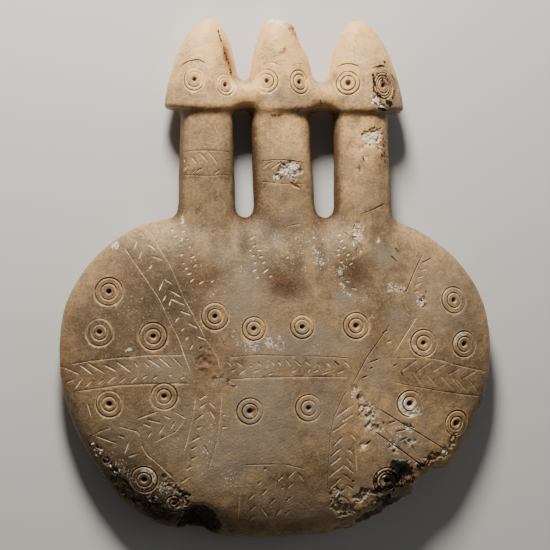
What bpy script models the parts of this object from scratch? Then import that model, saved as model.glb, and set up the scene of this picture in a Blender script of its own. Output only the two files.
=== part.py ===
"""Disc-shaped idol of alabaster with three heads on three tall necks, lying on its back with its face up.

Run it with: blender --background --python part.py, or from Blender's text editor.

The stone is one piece. Its forms are roughed out as closed shells, merged into one body and softened. Then the drilled
dot-and-circle marks, the incised lines, the flat of the back and the breaks are cut.
X runs across the disc, Y from the disc towards the heads, and Z up from the flat of the back.
Sizes are in millimetres until the body is scaled to metres.
"""

import math

import bmesh
import bpy
from mathutils import Matrix, Vector
from mathutils.bvhtree import BVHTree

MM = 0.001
CENTRING = (0.1, 0.39, 0.0)  # brings the middle of the whole outline over the origin

MID_PLANE = 10.0  # height of the rim's widest line above the flat of the back

DISC_CENTRE = (0.0, -38.0)
RIM_RADII = (  # before breakage, every 22.5 degrees from +X, counter-clockwise
    84.9, 86.9, 79.6, 66.0, 60.2, 66.0, 80.3, 87.2,
    85.1, 80.1, 76.6, 67.6, 63.9, 66.9, 74.8, 79.7,
)
DISC_FRONT = 14.0  # rise of the front over the mid plane
DISC_BACK = 11.5  # drop of the back under it, before the flat is cut
DISC_POWER = 3.2  # how late the front and back curve in towards the rim

HEAD_FOOT = 64.2  # Y of the underside of the heads
HEAD_DEPTH = 10.5  # half the thickness of a head at its underside
TOP_DEPTH = 5.0  # the same at its top
HEAD_POWER = 2.0  # a head's section: 2 is an ellipse, more is squarer
TAPER_POWER = 1.15  # how late a head narrows on the way up
TOP_ROUNDING = 0.7  # how fast its thickness rounds over at the top, against its width
TOP_END = 0.995  # share of its height at which the blunt top is closed

NECK_DEPTH = 8.0  # half the thickness of a neck, front to back
NECK_POWER = 2.3
NECK_END = 24.0  # Y where the necks reach the edge of the disc
NECK_OVERLAP = 4.0  # how far a neck runs on inside its head
RIDGE_END = -8.0  # Y where the ridge that runs on from a neck has died out in the face
RIDGE_RISE = 1.6  # height of that ridge over the face at the edge of the disc
RIDGE_SINK = 1.5  # depth at which it ends inside the stone
RIDGE_SPREAD = 1.25  # how much wider than the neck it ends

# Each figure's neck is (middle X, half width) under the head and at the disc, its head is (middle X, half width) at
# the underside, its top is (middle X, Y), sway is how far it bows outwards, taper is the share of the width lost on the
# way up and bluntness how late the top rounds over
FIGURES = {
    "left": {
        "neck": ((-28.2, 10.2), (-28.5, 11.4)), "head": (-29.7, 15.6), "top": (-27.3, 99.8),
        "sway": -0.7, "taper": 0.46, "bluntness": 5.0,
    },
    "middle": {
        "neck": ((0.2, 11.3), (2.3, 12.3)), "head": (1.7, 14.9), "top": (-0.2, 101.2),
        "sway": 0.0, "taper": 0.50, "bluntness": 9.0,
    },
    "right": {
        "neck": ((32.6, 10.6), (33.4, 11.6)), "head": (33.9, 16.3), "top": (31.3, 100.4),
        "sway": 0.7, "taper": 0.46, "bluntness": 5.0,
    },
}

TIE_Y = 69.9  # middle of the ties between the heads
TIE_HALF_HEIGHT = 5.6
TIE_HALF_DEPTH = 8.0
TIES = ((-22.0, -8.0), (9.5, 26.0))  # X from one head into the next

# Corners of the ragged break at the disc's lower right: X and Y in the mid plane, and how far the break leans in for
# each millimetre of height
BREAK_CORNERS = (
    (84.5, -46.0, 0.15), (81.5, -52.3, 0.15), (77.6, -57.0, 0.12), (76.7, -61.0, 0.12), (73.4, -66.5, 0.18),
    (68.9, -75.1, 0.10), (61.2, -75.4, 0.15), (52.6, -81.6, 0.15), (51.0, -85.5, 0.10), (40.9, -92.0, 0.50),
    (32.0, -95.7, 0.50), (22.4, -99.2, 0.40), (14.0, -101.8, 0.20),
)
CUT_HALF_HEIGHT = 22.0
CUT_REACH = 1.6  # how far out the break's cutter reaches, as a multiple of its corners
CHIP_MIDDLE = (-30.0, -101.0, 19.0)  # the hollow knocked out of the lower left edge
CHIP_HALF_SIZES = (8.5, 13.0, 12.5)
BACK_SLAB = (260.0, 260.0, 20.0)  # the stone under the flat of the back, wider than the idol

# Drilled dot-and-circle marks on the face of the disc: X, Y and the radius of the outer circle
DISC_MARKS = (
    (-67.3, -6.0, 5.4), (-70.8, -21.5, 5.4), (-50.7, -22.8, 5.4), (-67.2, -48.5, 5.3), (-46.5, -45.4, 5.3),
    (-53.6, -77.5, 5.4), (-27.4, -15.2, 5.3), (-12.3, -20.1, 4.8), (6.3, -19.6, 4.8), (27.7, -19.3, 5.3),
    (-13.9, -51.4, 5.3), (9.0, -50.8, 5.3), (67.7, -9.4, 5.4), (54.9, -26.1, 5.3), (72.1, -26.7, 5.4),
    (49.2, -49.5, 5.3), (69.6, -57.5, 5.3), (40.7, -79.2, 5.3),
)
DISC_INNER = 0.52  # inner circle's radius as a share of the outer's
# The same marks are the eyes on the heads
EYES = (
    (-34.7, 75.0, 4.7), (-22.4, 73.5, 4.0), (-6.0, 75.0, 4.6), (6.5, 74.7, 4.8), (25.9, 74.8, 4.7), (39.6, 74.2, 4.6),
)
EYE_INNER = 0.66
BROWS = (
    ((-39.5, 80.4), (-34.7, 82.8), (-29.1, 81.0)),
    ((-8.0, 82.4), (-5.2, 83.2), (-0.9, 81.4)),
    ((22.2, 80.9), (26.7, 82.3), (31.4, 80.6)),
    ((35.1, 81.0), (38.9, 82.2), (41.6, 81.2)),
)
# Incised lines that border the bands across the disc
LINES = (
    ((-61.5, 12.0), (-50.3, -6.6), (-37.6, -33.2), (-35.3, -39.5)),
    ((-51.5, 18.2), (-38.5, -8.6), (-24.8, -31.8)),
    ((-82.1, -34.0), (-64.7, -31.6), (-41.0, -30.6)),
    ((-79.9, -44.1), (-66.0, -42.3), (-38.0, -41.2)),
    ((-21.0, -30.9), (26.2, -31.2)),
    ((-22.1, -39.6), (23.4, -40.1)),
    ((43.8, -32.0), (61.9, -33.0), (82.8, -38.0)),
    ((42.0, -40.9), (61.9, -43.9), (82.1, -47.8)),
    ((56.5, 9.6), (48.3, -7.6)),
    ((42.1, -18.0), (36.0, -26.1), (21.5, -50.4), (16.8, -70.7), (16.9, -86.0)),
    ((-35.5, -44.0), (-37.5, -63.7)),
    ((-24.5, -42.5), (-25.6, -60.0), (-29.4, -73.4)),
    ((37.4, -50.9), (64.0, -68.0)),
    ((33.5, -60.1), (54.8, -74.0)),
    ((-15.8, -72.4), (-3.8, -72.2), (9.9, -74.8)),
)
GROOVE_DEPTH = 0.45
GROOVE_HALF_WIDTH = 0.4
LINE_DEPTH = 0.35
PIT_RADIUS = 0.9
PIT_DEPTH = 1.3
CLEAR = 0.5  # how far a groove's cutter stands over the surface
OUTER_SIDES = 12
INNER_SIDES = 8
PIT_SIDES = 6
LINE_STEP = 8.5  # length of a straight piece of a line
BROW_STEP = 3.0
OVER_ALL = 60.0  # a height over every part of the face, from which points are dropped on to it
OVER_SEAT = 12.0  # the same over the surface near one mark

VOXEL = 1.1
SOFTEN_ALL = 4  # smoothing passes over the whole body
SOFTEN_SHOULDERS = 40  # further passes where the necks run into the disc
SHOULDERS_Y = 14.0  # middle of that part
SHOULDERS_REACH = 26.0  # how far it runs up and down
SOFTEN_TIES = 12  # further passes where the heads run into the ties
TIES_REACH = (0.6, 1.6)  # half sizes of those parts, as shares of a tie's length and of its half height
BODY_FACES = 3300  # triangles of the body before it is cut

SHARP_ANGLE = math.radians(32)
STONE_COLOUR = (0.62, 0.50, 0.36, 1.0)
STONE_ROUGHNESS = 0.5


def rim_radius(angle):
    """Distance of the unbroken rim from the disc's centre, smoothly through RIM_RADII."""
    count = len(RIM_RADII)
    place = (angle % math.tau) / math.tau * count
    first = int(place)
    t = place - first
    before, start, end, after = (RIM_RADII[(first + k) % count] for k in (-1, 0, 1, 2))
    return 0.5 * (
        2 * start
        + (end - before) * t
        + (2 * before - 5 * start + 4 * end - after) * t**2
        + (3 * start - before - 3 * end + after) * t**3
    )


def between(start, end, share):
    return start + (end - start) * share


def oval(angle, half_width, half_depth, squareness):
    """A point of a squared oval about its own middle."""
    across, up = math.cos(angle), math.sin(angle)
    power = 2 / squareness
    return (
        math.copysign(abs(across) ** power, across) * half_width,
        math.copysign(abs(up) ** power, up) * half_depth,
    )


def tube(place, rows, segments=40):
    """A closed shell whose point at a share of its length and at an angle round it is place(share, angle)."""
    bm = bmesh.new()
    bmesh.ops.create_cone(bm, cap_ends=True, segments=segments, radius1=1.0, radius2=1.0, depth=1.0)
    lengthwise = [edge for edge in bm.edges if abs(edge.verts[0].co.z - edge.verts[1].co.z) > 0.5]
    bmesh.ops.subdivide_edges(bm, edges=lengthwise, cuts=rows, use_grid_fill=True)
    for vert in bm.verts:
        vert.co = place(vert.co.z + 0.5, math.atan2(vert.co.y, vert.co.x))
    bmesh.ops.recalc_face_normals(bm, faces=bm.faces)
    return bm


def disc_shell():
    """The disc: a ball pressed flat, with the rim's own outline."""
    bm = bmesh.new()
    bmesh.ops.create_uvsphere(bm, u_segments=128, v_segments=48, radius=1.0)
    for vert in bm.verts:
        out = min(1.0, math.hypot(vert.co.x, vert.co.y))
        angle = math.atan2(vert.co.y, vert.co.x)
        reach = out * rim_radius(angle)
        bulge = DISC_FRONT if vert.co.z > 0 else -DISC_BACK
        vert.co = (
            DISC_CENTRE[0] + reach * math.cos(angle),
            DISC_CENTRE[1] + reach * math.sin(angle),
            MID_PLANE + bulge * math.sqrt(1 - out**DISC_POWER),
        )
    return bm


def face_height(x, y):
    """Height of the disc's front over the mid plane."""
    east, north = x - DISC_CENTRE[0], y - DISC_CENTRE[1]
    out = min(1.0, math.hypot(east, north) / rim_radius(math.atan2(north, east)))
    return DISC_FRONT * math.sqrt(1 - out**DISC_POWER)


def neck_shell(figure):
    """One neck, from inside its head down to the disc, and its ridge that dies out in the face of the disc."""
    (head_x, head_half), (disc_x, disc_half) = figure["neck"]

    def place(share, angle):
        y = between(RIDGE_END, HEAD_FOOT + NECK_OVERLAP, share)
        down = (HEAD_FOOT - y) / (HEAD_FOOT - NECK_END)  # 0 at the head, 1 at the edge of the disc
        along_ridge = max(0.0, (NECK_END - y) / (NECK_END - RIDGE_END))
        mid_x = between(head_x, disc_x, min(down, 1.0))
        half = between(head_half, disc_half, min(down, 1.0)) * between(1.0, RIDGE_SPREAD, along_ridge)
        front = NECK_DEPTH
        if along_ridge > 0:
            over_face = between(RIDGE_RISE, -RIDGE_SINK, along_ridge)
            front = max(NECK_DEPTH, face_height(mid_x, y) + over_face)
        x, z = oval(angle, half, front if angle > 0 else NECK_DEPTH, NECK_POWER)
        return Vector((mid_x + x, y, MID_PLANE + z))

    return tube(place, rows=24)


def head_shell(figure):
    """One head: a tall cap that narrows to a blunt top."""
    foot_x, foot_half = figure["head"]
    top_x, top_y = figure["top"]

    def place(share, angle):
        share = min(share, TOP_END)
        narrowed = 1 - figure["taper"] * share**TAPER_POWER
        rounded = math.sqrt(1 - share ** figure["bluntness"])
        depth = between(HEAD_DEPTH, TOP_DEPTH, share) * rounded**TOP_ROUNDING
        x, z = oval(angle, foot_half * narrowed * rounded, depth, HEAD_POWER)
        mid_x = between(foot_x, top_x, share) + figure["sway"] * math.sin(math.pi * share)
        return Vector((mid_x + x, between(HEAD_FOOT, top_y, share), MID_PLANE + z))

    return tube(place, rows=40)


def tie_shell(start, end):
    """The bar left between two heads."""

    def place(share, angle):
        y, z = oval(angle, TIE_HALF_HEIGHT, TIE_HALF_DEPTH, NECK_POWER)
        return Vector((between(start, end, share), TIE_Y + y, MID_PLANE + z))

    return tube(place, rows=8)


def body_object():
    """All the shells in one mesh, in an object of its own."""
    shells = [disc_shell()]
    for figure in FIGURES.values():
        shells += [neck_shell(figure), head_shell(figure)]
    shells += [tie_shell(*tie) for tie in TIES]
    return object_from("idol", joined(shells))


def joined(shells):
    together = bmesh.new()
    for shell in shells:
        mesh = bpy.data.meshes.new("shell")
        shell.to_mesh(mesh)
        together.from_mesh(mesh)
        shell.free()
        bpy.data.meshes.remove(mesh)
    return together


def object_from(name, bm):
    mesh = bpy.data.meshes.new(name)
    bm.to_mesh(mesh)
    bm.free()
    made = bpy.data.objects.new(name, mesh)
    bpy.context.scene.collection.objects.link(made)
    return made


def settle(made):
    """Makes what an object's modifiers do a part of its mesh."""
    graph = bpy.context.evaluated_depsgraph_get()
    old = made.data
    made.data = bpy.data.meshes.new_from_object(made.evaluated_get(graph))
    made.modifiers.clear()
    bpy.data.meshes.remove(old)


def merge_and_soften(body):
    """One skin over all the shells, with soft valleys where the necks meet the disc."""
    remesh = body.modifiers.new("merge", "REMESH")
    remesh.mode = "VOXEL"
    remesh.voxel_size = VOXEL
    settle(body)

    shoulders = body.vertex_groups.new(name="shoulders")
    ties = body.vertex_groups.new(name="ties")
    for vert in body.data.vertices:
        near = 1 - abs(vert.co.y - SHOULDERS_Y) / SHOULDERS_REACH
        if near > 0:
            shoulders.add([vert.index], min(1.0, 2 * near), "REPLACE")
        for start, end in TIES:
            sideways = 1 - abs(vert.co.x - (start + end) / 2) / (TIES_REACH[0] * (end - start))
            near = min(sideways, 1 - abs(vert.co.y - TIE_Y) / (TIES_REACH[1] * TIE_HALF_HEIGHT))
            if near > 0:
                ties.add([vert.index], min(1.0, 3 * near), "REPLACE")
    for group, passes in (("", SOFTEN_ALL), ("shoulders", SOFTEN_SHOULDERS), ("ties", SOFTEN_TIES)):
        smooth = body.modifiers.new("soften " + group, "SMOOTH")
        smooth.factor = 0.5
        smooth.iterations = passes
        smooth.vertex_group = group
    settle(body)

    thin = body.modifiers.new("thin", "DECIMATE")
    thin.ratio = BODY_FACES / (2 * len(body.data.polygons))
    settle(body)


def cutter_object(name, bm):
    """A helper that is cut from the stone and isn't a piece of it."""
    bmesh.ops.recalc_face_normals(bm, faces=bm.faces)
    made = object_from(name, bm)
    made.hide_render = True
    made.display_type = "WIRE"
    return made


def break_cutter():
    """The stone lost at the lower right: everything outside the break's corners."""
    bm = bmesh.new()
    middle = Vector((DISC_CENTRE[0], DISC_CENTRE[1], MID_PLANE))
    inner = []
    outer = []
    for side in (-1, 1):
        rise = Vector((0, 0, side * CUT_HALF_HEIGHT))
        for x, y, lean in BREAK_CORNERS:
            away = Vector((x, y, MID_PLANE)) - middle
            inner.append(bm.verts.new(middle + away - side * CUT_HALF_HEIGHT * lean * away.normalized() + rise))
            outer.append(bm.verts.new(middle + CUT_REACH * away + rise))
    count = len(BREAK_CORNERS)
    for walls in (inner, outer):
        for k in range(count - 1):
            bm.faces.new((walls[k], walls[k + 1], walls[count + k + 1], walls[count + k]))
    for level in (0, count):
        bm.faces.new(inner[level : level + count] + outer[level : level + count][::-1])
    for k in (0, count - 1):
        bm.faces.new((inner[k], outer[k], outer[count + k], inner[count + k]))
    return cutter_object("cut_break", bm)


def chip_cutter():
    bm = bmesh.new()
    bmesh.ops.create_icosphere(bm, subdivisions=2, radius=1.0)
    for vert in bm.verts:
        vert.co = [middle + half * part for middle, half, part in zip(CHIP_MIDDLE, CHIP_HALF_SIZES, vert.co)]
    return cutter_object("cut_chip", bm)


def back_cutter():
    """Everything under the flat of the back."""
    bm = bmesh.new()
    bmesh.ops.create_cube(bm, size=1.0)
    bmesh.ops.scale(bm, vec=BACK_SLAB, verts=bm.verts)
    bmesh.ops.translate(bm, vec=(0.0, 0.0, -BACK_SLAB[2] / 2), verts=bm.verts)
    return cutter_object("cut_back", bm)


class Skin:
    """The body's surface, for cutters that have to follow it."""

    def __init__(self, body):
        bm = bmesh.new()
        bm.from_mesh(body.data)
        self.tree = BVHTree.FromBMesh(bm)
        bm.free()

    def hit(self, start, heading):
        place, facing, _, _ = self.tree.ray_cast(start, heading)
        return place, facing

    def seat(self, x, y, radius):
        """A frame on the surface at (x, y), with its Z along the mean facing within the radius."""
        down = Vector((0, 0, -1))
        facing = Vector()
        for k in range(8):
            angle = k * math.tau / 8
            start = Vector((x + radius * math.cos(angle), y + radius * math.sin(angle), OVER_ALL))
            facing += self.hit(start, down)[1]
        facing.normalize()
        east = Vector((0, 1, 0)).cross(facing).normalized()
        north = facing.cross(east)
        place = self.hit(Vector((x, y, OVER_ALL)), down)[0]
        return Matrix.Translation(place) @ Matrix((east, north, facing)).transposed().to_4x4()

    def on_seat(self, seat, across, along, height):
        """A point at a height over the surface, from its place in the frame of a seat."""
        facing = seat.col[2].to_3d()
        place, _ = self.hit(seat @ Vector((across, along, OVER_SEAT)), -facing)
        return place + facing * height


def circle_groove(skin, seat, radius, sides):
    """A V-shaped section spun into a ring and laid on the surface."""
    bm = bmesh.new()
    section = bmesh.ops.create_circle(bm, segments=3, radius=1.0)["verts"]
    low = max(section, key=lambda vert: abs(vert.co.x * 0.1 + vert.co.y))
    flare = GROOVE_HALF_WIDTH * (GROOVE_DEPTH + CLEAR) / GROOVE_DEPTH
    rims = [vert for vert in section if vert is not low]
    low.co = (radius, 0, -GROOVE_DEPTH)
    rims[0].co = (radius - flare, 0, CLEAR)
    rims[1].co = (radius + flare, 0, CLEAR)
    bmesh.ops.spin(
        bm, geom=bm.verts[:] + bm.edges[:], cent=(0, 0, 0), axis=(0, 0, 1), dvec=(0, 0, 0),
        angle=math.tau, steps=sides, use_merge=True,
    )
    for vert in bm.verts:
        vert.co = skin.on_seat(seat, vert.co.x, vert.co.y, vert.co.z)
    return bm


def pit(seat):
    """The dot: a drilled point."""
    bm = bmesh.new()
    flare = PIT_RADIUS * (PIT_DEPTH + CLEAR) / PIT_DEPTH
    bmesh.ops.create_cone(
        bm, cap_ends=True, segments=PIT_SIDES, radius1=0.0, radius2=flare, depth=PIT_DEPTH + CLEAR
    )
    bmesh.ops.translate(bm, vec=(0, 0, (CLEAR - PIT_DEPTH) / 2), verts=bm.verts)
    bmesh.ops.transform(bm, matrix=seat, verts=bm.verts)
    bmesh.ops.remove_doubles(bm, verts=bm.verts, dist=0.0001)
    return bm


def mark(skin, x, y, outer, inner_share):
    seat = skin.seat(x, y, outer)
    return [
        circle_groove(skin, seat, outer, OUTER_SIDES),
        circle_groove(skin, seat, outer * inner_share, INNER_SIDES),
        pit(seat),
    ]


def line_groove(skin, corners, step):
    """A V-shaped groove through the corners, laid on the surface."""
    corners = [Vector(corner) for corner in corners]
    lengths = [(after - before).length for before, after in zip(corners, corners[1:])]
    flare = GROOVE_HALF_WIDTH * (LINE_DEPTH + CLEAR) / LINE_DEPTH

    def place(share, angle):
        left = min(share, 0.9999) * sum(lengths)
        k = 0
        while left > lengths[k]:
            left -= lengths[k]
            k += 1
        heading = (corners[k + 1] - corners[k]).normalized()
        at = corners[k] + heading * left
        if angle > 0:
            spread, height = 0.0, -LINE_DEPTH
        else:
            spread, height = math.copysign(flare, math.cos(angle)), CLEAR
        at += spread * Vector((-heading.y, heading.x))
        return skin.hit(Vector((at.x, at.y, OVER_ALL)), Vector((0, 0, -1)))[0] + Vector((0, 0, height))

    return tube(place, rows=max(1, round(sum(lengths) / step) - 1), segments=3)


def marks_cutter(skin):
    shells = []
    for x, y, outer in DISC_MARKS:
        shells += mark(skin, x, y, outer, DISC_INNER)
    for x, y, outer in EYES:
        shells += mark(skin, x, y, outer, EYE_INNER)
    return cutter_object("cut_marks", joined(shells))


def lines_cutter(skin):
    shells = [line_groove(skin, brow, BROW_STEP) for brow in BROWS]
    shells += [line_groove(skin, line, LINE_STEP) for line in LINES]
    return cutter_object("cut_lines", joined(shells))


def cut(body, cutters):
    for cutter in cutters:
        boolean = body.modifiers.new(cutter.name, "BOOLEAN")
        boolean.operation = "DIFFERENCE"
        boolean.solver = "EXACT"
        boolean.object = cutter
        settle(body)


def clear_scene():
    for old in list(bpy.data.objects):
        bpy.data.objects.remove(old)


def main():
    clear_scene()
    body = body_object()
    merge_and_soften(body)
    skin = Skin(body)
    cut(body, [marks_cutter(skin), lines_cutter(skin), back_cutter(), break_cutter(), chip_cutter()])
    body.data.transform(Matrix.Scale(MM, 4) @ Matrix.Translation(CENTRING))
    body.data.shade_smooth()
    body.data.set_sharp_from_angle(angle=SHARP_ANGLE)
    stone = bpy.data.materials.new("alabaster")
    stone.use_nodes = True
    shader = stone.node_tree.nodes["Principled BSDF"]
    shader.inputs["Base Color"].default_value = STONE_COLOUR
    shader.inputs["Roughness"].default_value = STONE_ROUGHNESS
    body.data.materials.append(stone)


main()
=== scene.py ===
"""The look of a disc-shaped alabaster idol that lies on its back, with three capped heads on three necks.

The stone is made again from the same named forms as the solid, at a finer grain. It is broken, worn and
roughened first. Then the dot-and-circle marks, border lines and short strokes are cut into it. Last, its
patina, with painted shade and painted highlights in it, chalky scars, stains and crust are laid on as surface
values that one stone material reads.
Sizes are in millimetres, with the disc's own middle as the start of X, until the stone is scaled to metres.
"""

import math
from collections import namedtuple

import bmesh
import bpy
import numpy as np
from bpy.props import FloatProperty, FloatVectorProperty, IntProperty, PointerProperty
from mathutils import Matrix, Vector, noise
from mathutils.bvhtree import BVHTree


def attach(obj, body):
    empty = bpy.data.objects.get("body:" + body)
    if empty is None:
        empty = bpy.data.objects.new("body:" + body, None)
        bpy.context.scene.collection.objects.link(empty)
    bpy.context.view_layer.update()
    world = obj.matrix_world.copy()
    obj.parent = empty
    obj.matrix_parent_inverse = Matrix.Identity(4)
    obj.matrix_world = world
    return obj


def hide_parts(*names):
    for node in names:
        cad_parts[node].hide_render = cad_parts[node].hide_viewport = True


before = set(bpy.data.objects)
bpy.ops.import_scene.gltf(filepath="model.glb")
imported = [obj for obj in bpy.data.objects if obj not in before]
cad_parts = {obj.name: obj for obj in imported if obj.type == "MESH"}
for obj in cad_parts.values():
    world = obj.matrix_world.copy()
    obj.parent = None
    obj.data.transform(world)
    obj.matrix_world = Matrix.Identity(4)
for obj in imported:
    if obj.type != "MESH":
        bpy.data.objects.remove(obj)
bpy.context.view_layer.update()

bl_info = {
    "name": "Alabaster disc idol",
    "version": (1, 0, 0),
    "blender": (4, 5, 0),
    "location": "3D View > Sidebar > Idol",
    "description": "Models, wears, carves and colours a disc-shaped idol of alabaster",
    "category": "Object",
}

MM = 0.001
CENTRING = (0.1, 0.39, 0.0)

# Heights: the plane of the rim, the lowest stone that is roughened, the top of the flat back, the foot of
# the face, and well over the stone
MID_PLANE = 10.0
ROUGH_FROM = 0.3
FLAT_BACK = 0.6
FACE_FOOT = 8.0
SKY = 60.0

# The forms of the stone, as in the solid

DISC_CENTRE = (0.0, -38.0)
RIM_RADII = (
    84.9, 86.9, 79.6, 66.0, 60.2, 66.0, 80.3, 87.2,
    85.1, 80.1, 76.6, 67.6, 63.9, 66.9, 74.8, 79.7,
)
DISC_FRONT = 14.0
DISC_BACK = 11.5
DISC_POWER = 3.2

HEAD_FOOT = 64.2
HEAD_DEPTH = 10.5
TOP_DEPTH = 5.0
HEAD_POWER = 2.0

NECK_DEPTH = 8.0
NECK_POWER = 2.3
NECK_END = 24.0
RIDGE_END = -8.0
RIDGE_RISE = 1.6
RIDGE_SINK = 1.5
RIDGE_SPREAD = 1.25

FIGURES = {
    "left": {
        "neck": ((-28.2, 10.2), (-28.5, 11.4)), "head": (-29.7, 15.6), "top": (-27.3, 99.8),
        "sway": -0.7, "taper": 0.46, "bluntness": 5.0,
    },
    "middle": {
        "neck": ((0.2, 11.3), (2.3, 12.3)), "head": (1.7, 14.9), "top": (-0.2, 101.2),
        "sway": 0.0, "taper": 0.50, "bluntness": 9.0,
    },
    "right": {
        "neck": ((32.6, 10.6), (33.4, 11.6)), "head": (33.9, 16.3), "top": (31.3, 100.4),
        "sway": 0.7, "taper": 0.46, "bluntness": 5.0,
    },
}

TIE_Y = 69.9
TIE_HALF_HEIGHT = 5.6
TIE_HALF_DEPTH = 8.0
TIES = ((-22.0, -8.0), (9.5, 26.0))

BREAK_CORNERS = (
    (84.5, -46.0, 0.15), (81.5, -52.3, 0.15), (77.6, -57.0, 0.12), (76.7, -61.0, 0.12), (73.4, -66.5, 0.18),
    (68.9, -75.1, 0.10), (61.2, -75.4, 0.15), (52.6, -81.6, 0.15), (51.0, -85.5, 0.10), (40.9, -92.0, 0.50),
    (32.0, -95.7, 0.50), (22.4, -99.2, 0.40), (14.0, -101.8, 0.20),
)
BREAK_REACH = 1.6
CUT_HALF_HEIGHT = 22.0
CHIP_MIDDLE = (-32.6, -101.0, 19.0)
CHIP_HALF_SIZES = (10.5, 13.6, 12.5)
GROUND_BLOCK = (260.0, 260.0, 20.0)

# Flats knocked off the middle head: X, Y, heading in degrees, and half width
FLATS = ((1.5, 98.9, 82, 6.0), (6.4, 95.0, 13, 3.2), (8.1, 90.0, 26, 3.6))

SOFTEN_ALL = 4
SOFTEN_SHOULDERS = 40
SOFTEN_TIES = 12
SOFTEN_BREAKS = 2
SHOULDERS_Y = 14.0
SHOULDERS_REACH = 26.0

# Sizes of the noises: waves of the hand, broken lumps, facets and grit, ragged edges, clouds and streaks
WAVE_SIZES = (22.0, 5.0, 9.0)
LUMP_SIZE = 5.5
FACET_SIZES = (2.4, 1.1)
GRIT_SIZE = 1.8
RAGGED_SIZE = 2.6
CLOUD_SIZE = 26.0
STREAK_SIZE = 4.0

# Drilled marks: X, Y, outer radius, inner radius as a share of it, width as a share of the height, pit radius
# and groove depth; then the heading in degrees and the share by which one side is worn away, how much of the
# grooves holds dark dirt, and the heading and strength of the pale dust between the two circles
Mark = namedtuple(
    "Mark", "x y outer inner_share squeeze pit_radius depth worn_heading worn_share dirt pale_heading dust"
)
DISC_MARKS = (
    (-67.2, -6.1, 5.3, 0.59, 1, 1.05, 0.5, 315, 0.15, 0.5, -60, 0.14),
    (-70.8, -21.5, 5.2, 0.55, 1, 1, 0.34, 120, 0.55, 0.4, 0, 0.05),
    (-50.6, -23.1, 5.2, 0.56, 1, 1.05, 0.48, 200, 0.1, 0.8, 60, 0.2),
    (-67.1, -48.8, 5, 0.56, 1, 1.15, 0.36, 90, 0.45, 0.55, -90, 0.15),
    (-46.5, -45.9, 5, 0.55, 1, 1.05, 0.42, 225, 0.45, 0.7, 40, 0.12),
    (-53.7, -77.8, 5.1, 0.55, 1, 1.15, 0.6, 215, 0.6, 1, 50, 0.46),
    (-27.1, -15.6, 5.1, 0.55, 1, 1, 0.4, 60, 0.3, 0.65, -45, 0.12),
    (-12.1, -20.4, 4.5, 0.62, 1, 1, 0.44, 60, 0.2, 0.75, 120, 0.28),
    (6.7, -19.8, 4.5, 0.64, 1, 1, 0.42, 70, 0.4, 0.6, 100, 0.25),
    (27.9, -19.4, 5, 0.57, 1, 1.15, 0.54, 0, 0.1, 0.95, 90, 0.15),
    (-13.7, -51.9, 5, 0.59, 1, 1.05, 0.5, 20, 0.25, 0.75, -45, 0.1),
    (9.2, -50.9, 5.1, 0.58, 1, 1.05, 0.46, 0, 0.7, 0.65, 180, 0.15),
    (68.2, -9.6, 5.2, 0.57, 1, 1.05, 0.46, -10, 0.65, 0.75, -90, 0.2),
    (55.1, -26.3, 5.2, 0.57, 1, 1.05, 0.54, 0, 0.6, 0.85, -120, 0.35),
    (72.4, -26.9, 5.1, 0.58, 1, 1.1, 0.56, -10, 0.8, 0.9, 128, 0.42),
    (49.6, -49.8, 5.1, 0.56, 1, 1.3, 0.66, -10, 1, 1, 225, 0.68),
    (69.5, -58, 5.1, 0.54, 1, 1.35, 0.58, 290, 0.45, 0.75, 50, 0.25),
    (40.7, -79.8, 5.3, 0.5, 1, 1, 0.5, -30, 0.8, 0.9, 160, 0.3),
    (-42.1, -87.3, 3.4, 0.55, 1, 0.8, 0.45, 300, 0.8, 0.4, 120, 0.4),
)
EYES = (
    (-34.4, 75.2, 4.4, 0.67, 0.9, 0.95, 0.34, 60, 0.35, 0.45, -125, 0.4),
    (-22.1, 73.3, 4.1, 0.68, 0.92, 0.95, 0.36, 60, 0.4, 0.35, -50, 0.5),
    (-6.2, 75.1, 4.5, 0.63, 1, 0.9, 0.32, 180, 0.45, 0.55, -60, 0.2),
    (6.9, 74.9, 4.7, 0.66, 0.84, 1.05, 0.48, 0, 0.3, 0.95, 60, 0.15),
    (25.9, 74.8, 4.6, 0.64, 1, 1.2, 0.52, 60, 0.2, 1, 0, 0.05),
    (40, 74, 5.2, 0.58, 0.76, 0.95, 0.52, 40, 0.55, 0.9, 225, 0.35),
)
MARKS = [Mark(*row) for row in DISC_MARKS + EYES]
# Third circles: X, Y, radius, width as a share of the height, and depth
EXTRA_RINGS = ((40.7, -79.8, 3.9, 1, 0.5), (40, 74, 4.1, 0.76, 0.4))
OUTER_SIDES = 44
INNER_SIDES = 32
EXTRA_SIDES = 36
GROOVE_HALF_WIDTH = 0.47
# A pit's widening and depth as shares of its radius
PIT_SPREAD = 1.12
PIT_DEPTH_SHARE = 1.15
PIT_SIDES = 16
# The pit's blunt point, as a share of its radius
PIT_POINT = 0.35
# How many points round a mark's centre are asked which way the face looks there
SEAT_RAYS = 12

# Rubbed lips, which also carry a painted highlight on the side below each groove and below the pit: distance
# from a circle's groove and width, the same for a pit as shares of its radius, and the patina that they have
# lost
LIP_REACH = 0.44
LIP_WIDTH = 0.15
PIT_LIP = 1.06
PIT_LIP_WIDTH = 0.30
CLEAN_AND_LIT_LIPS = 0.60

# How far the cutters stand over the surface, and how the mesh is cut
CLEAR = 0.5
CUT_SOLVER = "MANIFOLD"

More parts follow.
